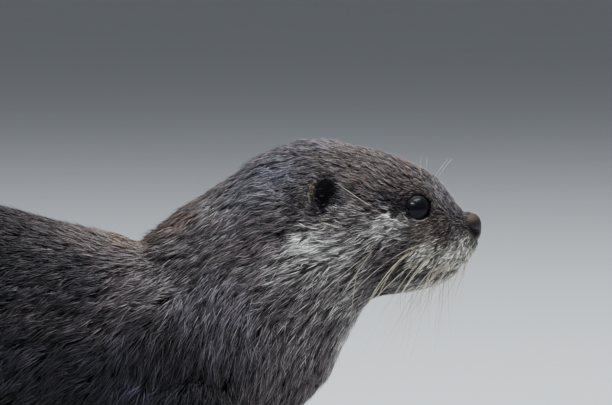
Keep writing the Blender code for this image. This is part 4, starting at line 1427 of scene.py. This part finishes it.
class Nodes:
    """A short way to add and join shader nodes in a tree."""

    def __init__(self, tree: bpy.types.NodeTree) -> None:
        """Keeps the tree."""
        self.tree = tree

    def add(self, kind: str, inputs: Inputs | None = None, **settings: object) -> bpy.types.Node:
        """A new node, with its own settings and what goes into its sockets."""
        node = self.tree.nodes.new(kind)
        for name, value in settings.items():
            setattr(node, name, value)
        self.fill(node, inputs or {})
        return node

    def fill(self, node: bpy.types.Node, inputs: Inputs) -> None:
        """Gives each socket a link if its value is one, and a number or colour otherwise."""
        for name, value in inputs.items():
            target = node.inputs[name]
            if isinstance(value, Socket):
                self.tree.links.new(value, target)
            elif target.type == "RGBA":
                target.default_value = (*value, 1)
            else:
                target.default_value = value

    def attribute(self, name: str) -> Socket:
        """The number stored on the mesh under a name."""
        return self.add("ShaderNodeAttribute", attribute_name=name).outputs["Fac"]

    def math(self, operation: str, *values: Value) -> Socket:
        """The result of a math node."""
        return self.add("ShaderNodeMath", dict(enumerate(values)), operation=operation).outputs[0]

    def mix(self, share: Value, first: Value, second: Value, blend: str = "MIX") -> Socket:
        """The colour that a mix node puts out."""
        inputs = {"Factor": share, 6: first, 7: second}
        return self.add("ShaderNodeMix", inputs, data_type="RGBA", blend_type=blend).outputs[2]

    def coordinates(self) -> Socket:
        """Object coordinates."""
        return self.add("ShaderNodeTexCoord").outputs["Object"]

    def noise(self, scale: float, detail: float = 2.0, stretch: Point = (1, 1, 1)) -> Socket:
        """Noise on Object coordinates, from 0 to 1."""
        place = self.add("ShaderNodeMapping", {"Vector": self.coordinates(), "Scale": stretch}).outputs[0]
        inputs = {"Vector": place, "Scale": scale, "Detail": detail}
        return self.add("ShaderNodeTexNoise", inputs).outputs["Fac"]

    def bump(self, height: Value, strength: float, distance: float, **settings: object) -> Socket:
        """Normals that a height turns, over a distance in metres."""
        inputs = {"Height": height, "Strength": strength, "Distance": distance}
        return self.add("ShaderNodeBump", inputs, **settings).outputs[0]


@dataclass(frozen=True)
class Palette:
    """The coat's colours, at the tips of its tufts."""

    brown: Colour = (0.134, 0.108, 0.110)
    # grey: grey fur, and in places a painted blue-grey highlight
    grey: Colour = (0.222, 0.222, 0.264)
    warm: Colour = (0.270, 0.180, 0.115)
    pale: Colour = (0.730, 0.710, 0.665)
    cream: Colour = (0.760, 0.735, 0.650)
    # dark: the coat's dark brown, which also serves as painted shade on the lower body, in the ear's cup
    # and behind its rim
    dark: Colour = (0.0165, 0.0145, 0.0215)
    tan: Colour = (0.270, 0.170, 0.095)
    # painted highlight: the blue-grey glint of light on the fur
    sheen: Colour = (0.200, 0.200, 0.270)
    root_share: float = 0.08          # how bright a tuft's root is against its tip


def coat_colour_group(palette: Palette) -> bpy.types.NodeTree:
    """The effect that skin and coat share: markings with painted shade and highlights, dark roots and
    each tuft's tone.

    Each marking is mixed over the brown by its mask, and the sum is darkened towards the root
    and multiplied by the tone.
    """
    tree = bpy.data.node_groups.new("coat_colour", "ShaderNodeTree")
    contrast = tree.interface.new_socket("Contrast", in_out="INPUT", socket_type="NodeSocketFloat")
    contrast.default_value = 1.0
    tree.interface.new_socket("Colour", in_out="OUTPUT", socket_type="NodeSocketColor")
    nodes = Nodes(tree)
    inputs, outputs = nodes.add("NodeGroupInput"), nodes.add("NodeGroupOutput")
    colour = palette.brown
    for mark in (Mark.GREY, Mark.WARM, Mark.PALE, Mark.CREAM, Mark.DARK, Mark.TAN, Mark.SHEEN):
        colour = nodes.mix(nodes.attribute(mark.value), colour, getattr(palette, mark.value))
    tip = nodes.math("POWER", nodes.attribute("tip"), 1.6)
    tip = nodes.math("MULTIPLY", tip, inputs.outputs["Contrast"])
    rooted = nodes.mix(1.0, colour, (palette.root_share,) * 3, "MULTIPLY")
    colour = nodes.mix(tip, rooted, colour)
    tint = nodes.add("ShaderNodeCombineColor", dict.fromkeys(range(3), nodes.attribute("tone")))
    nodes.fill(outputs, {"Colour": nodes.mix(1.0, colour, tint.outputs[0], "MULTIPLY")})
    return tree


class Finish:
    """A material whose sockets a kind of finish fills."""

    name: str

    def material(self) -> bpy.types.Material:
        """Builds the material."""
        made = bpy.data.materials.new(self.name)
        made.use_nodes = True
        nodes = Nodes(made.node_tree)
        nodes.fill(made.node_tree.nodes["Principled BSDF"], self.inputs(nodes))
        return made

    def inputs(self, nodes: Nodes) -> Inputs:
        """What goes into the Principled node's sockets, under their names."""
        raise NotImplementedError


@dataclass(frozen=True)
class FurFinish(Finish):
    """Hair, or the skin under it: one colour effect, and bump on the skin."""

    name: str
    group: bpy.types.NodeTree
    roughness: float = 0.46
    specular: float = 0.34
    bump: float = 0.0

    def inputs(self, nodes: Nodes) -> Inputs:
        """The shared coat colour, and fine noise for the bump."""
        colour = nodes.add("ShaderNodeGroup", node_tree=self.group).outputs["Colour"]
        inputs = {"Base Color": colour, "Roughness": self.roughness, "Specular IOR Level": self.specular}
        if self.bump:
            inputs["Normal"] = nodes.bump(nodes.noise(900, 3, (0.35, 1, 1)), self.bump, 0.0006)
        return inputs


@dataclass(frozen=True)
class EyeFinish(Finish):
    """The wet eye: near black, with a brown iris that hardly shows, under a clear coat."""

    name: str = "wet_eye"
    pupil: Colour = (0.0015, 0.002, 0.005)
    iris: Colour = (0.004, 0.003, 0.004)

    def inputs(self, nodes: Nodes) -> Inputs:
        """Spots of iris in the pupil's colour, and a sharp clear coat."""
        return {
            "Base Color": nodes.mix(nodes.noise(260, 3), self.pupil, self.iris), "Roughness": 0.32,
            "Specular IOR Level": 0.08, "Coat Weight": 0.15, "Coat Roughness": 0.035,
        }


@dataclass(frozen=True)
class BareSkinFinish(Finish):
    """Bare moist skin with fine pebbles: lids, nose pad and claws.

    A mesh without the attributes top, low and hollow is one colour.
    """

    name: str
    colour: Colour = (0.012, 0.010, 0.011)
    # On the nose pad, top is partly the pad's brown and partly painted light on its upper side, and
    # hollow is painted shade in the nostrils and slits.
    top: Colour = (0.052, 0.036, 0.024)
    low: Colour = (0.070, 0.046, 0.046)
    hollow: Colour = (0.004, 0.003, 0.003)
    roughness: float = 0.44
    specular: float = 0.22
    pebble: float = 1500.0
    bump: float = 0.35

    def inputs(self, nodes: Nodes) -> Inputs:
        """Colours by attribute, with painted light on the top and painted shade in the hollows, darker
        spots, a duller top, and bumps between round cells.
        """
        colour = self.colour
        for name in ("top", "low", "hollow"):
            colour = nodes.mix(nodes.attribute(name), colour, getattr(self, name))
        spots = nodes.mix(1.0, colour, (0.6, 0.6, 0.6), "MULTIPLY")
        rough = nodes.math("MULTIPLY_ADD", nodes.noise(700, 2), 0.2, self.roughness - 0.1)
        cells = {"Vector": nodes.coordinates(), "Scale": self.pebble}
        height = nodes.add("ShaderNodeTexVoronoi", cells).outputs["Distance"]
        return {
            "Base Color": nodes.mix(nodes.noise(500, 3), colour, spots),
            "Specular IOR Level": self.specular,
            "Roughness": nodes.math("MULTIPLY_ADD", nodes.attribute("top"), 0.3, rough),
            "Normal": nodes.bump(height, self.bump, 0.0003, invert=True),
        }


@dataclass(frozen=True)
class WhiskerFinish(Finish):
    """Stiff glossy hair, amber at the root and cream at the tip."""

    name: str = "whisker_hair"
    root: Colour = (0.26, 0.20, 0.12)
    tip: Colour = (0.72, 0.66, 0.50)

    def inputs(self, nodes: Nodes) -> Inputs:
        """The way to the tip, quickened in spots, mixes the two colours."""
        spots = nodes.math("MULTIPLY_ADD", nodes.noise(60), 0.8, 1.0)
        share = nodes.math("MULTIPLY", nodes.attribute("tip"), spots)
        share = nodes.math("MINIMUM", share, 1.0)
        return {"Base Color": nodes.mix(share, self.root, self.tip), "Roughness": 0.35}


@dataclass(frozen=True)
class FloorFinish(Finish):
    """Pale paint with hardly any pattern."""

    name: str = "pale_floor"
    dark: Colour = (0.47, 0.475, 0.48)
    light: Colour = (0.50, 0.505, 0.51)

    def inputs(self, nodes: Nodes) -> Inputs:
        """Wide soft noise mixes the two colours."""
        return {"Base Color": nodes.mix(nodes.noise(3, 2), self.dark, self.light), "Roughness": 0.8}


# ---------------------------------------------------------------------------------- studio


@dataclass
class Studio:
    """Floor, light and camera."""

    pose: Pose
    target: Point = (-79.2, 0, 150.9)     # plain; the middle of the view
    view_width: float = 275.4 * MM
    distance: float = 2.4
    elevation: float = np.radians(3.0)
    floor_size: float = 60.0

    def build(self) -> None:
        """Sets the stage."""
        self._floor()
        self._light("key_light", (-0.55, -1.35, 2.1), (1.0, 0.45), 50, (0.90, 0.95, 1.0))
        self._light("top_light", (0.3, 0.4, 2.6), (2.0, 2.0), 160, (0.88, 0.94, 1.0))
        fill = self._light("fill_light", (1.9, -0.9, 1.0), (1.4, 1.4), 14, (1.0, 0.98, 0.95))
        fill.visible_glossy = False
        world = bpy.data.worlds.new("studio_air")
        world.use_nodes = True
        air = {"Color": (0.84, 0.90, 1.0), "Strength": 0.24}
        Nodes(world.node_tree).fill(world.node_tree.nodes["Background"], air)
        bpy.context.scene.world = world
        self._camera()

    def _floor(self) -> None:
        """A plain pale floor."""
        half = self.floor_size / 2
        corners = [(-half, -half, 0), (half, -half, 0), (half, half, 0), (-half, half, 0)]
        mesh = bpy.data.meshes.new("floor")
        mesh.from_pydata(corners, [], [(0, 1, 2, 3)])
        floor = add_object("floor", mesh)
        dress([floor], FloorFinish())

    @staticmethod
    def _light(
        name: str, place: Point, size: tuple[float, float], watts: float, colour: Colour
    ) -> Object:
        """A soft light, as wide and high as its size, that looks at the middle of the object."""
        data = bpy.data.lights.new(name, "AREA")
        data.shape = "RECTANGLE"
        data.size, data.size_y = size
        data.energy, data.color = watts, colour
        light = add_object(name, data)
        light.location = place
        aim = Vector((0.1, 0, 0.1)) - Vector(place)
        light.rotation_mode = "QUATERNION"
        light.rotation_quaternion = aim.to_track_quat("-Z", "Y")
        light.visible_camera = False
        return light

    def _camera(self) -> None:
        """A long lens from the animal's right, a little above it."""
        data = bpy.data.cameras.new("camera")
        data.sensor_width = 36.0
        data.lens = data.sensor_width * self.distance / self.view_width
        data.clip_end = 200
        camera = add_object("camera", data)
        back = Vector((0, -np.cos(self.elevation), np.sin(self.elevation)))
        target = Vector(self.pose.origin + np.array(self.target) * MM)
        camera.location = target + back * self.distance
        camera.rotation_mode = "QUATERNION"
        camera.rotation_quaternion = (-back).to_track_quat("-Z", "Y")
        bpy.context.scene.camera = camera


# ---------------------------------------------------------------------------------- all


def dress(pieces: list[Object], finish: Finish) -> None:
    """Gives every piece one material, made from the finish."""
    material = finish.material()
    for piece in pieces:
        piece.data.materials.clear()
        piece.data.materials.append(material)


def count_triangles(pieces: list[Object]) -> int:
    """Triangles of the pieces together."""
    total = 0
    for piece in pieces:
        piece.data.calc_loop_triangles()
        total += len(piece.data.loop_triangles)
    return total


def main() -> None:
    """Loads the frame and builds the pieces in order."""
    logging.basicConfig(level=logging.INFO, format="%(name)s: %(message)s")
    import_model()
    pose = find_pose()
    lie = CoatLie(pose)
    group = coat_colour_group(Palette())

    skin = Skin(pose, lie)
    skin_piece = skin.build()
    dress([skin_piece], FurFinish("skin_under_coat", group, roughness=0.8, specular=0.06, bump=0.8))
    coat = Coat(pose, lie, skin, fineness=1.0).build()
    dress(coat, FurFinish("coat_hair", group))
    eyes = Eyes(pose).build()
    dress(eyes[0::2], EyeFinish())
    dress(eyes[1::2], BareSkinFinish(
        "eyelid_skin", colour=(0.006, 0.005, 0.005), low=(0.12, 0.10, 0.09), pebble=2500.0,
        bump=0.1, roughness=0.55, specular=0.15,
    ))
    nose = Nose(pose).build()
    dress([nose], BareSkinFinish("nose_skin"))
    whiskers = Whiskers(pose, skin).build()
    dress(whiskers, WhiskerFinish())
    claws = Claws(pose).build()
    dress([claws], BareSkinFinish("claw_horn", colour=(0.10, 0.08, 0.06), roughness=0.3, bump=0.05))
    pieces = [skin_piece, *coat, *eyes, nose, *whiskers, claws]
    for piece in pieces:
        LOG.info("%s: %d triangles", piece.name, count_triangles([piece]))
    LOG.info("whole model: %d triangles", count_triangles(pieces))

    Studio(pose).build()


if __name__ == "__main__":
    main()
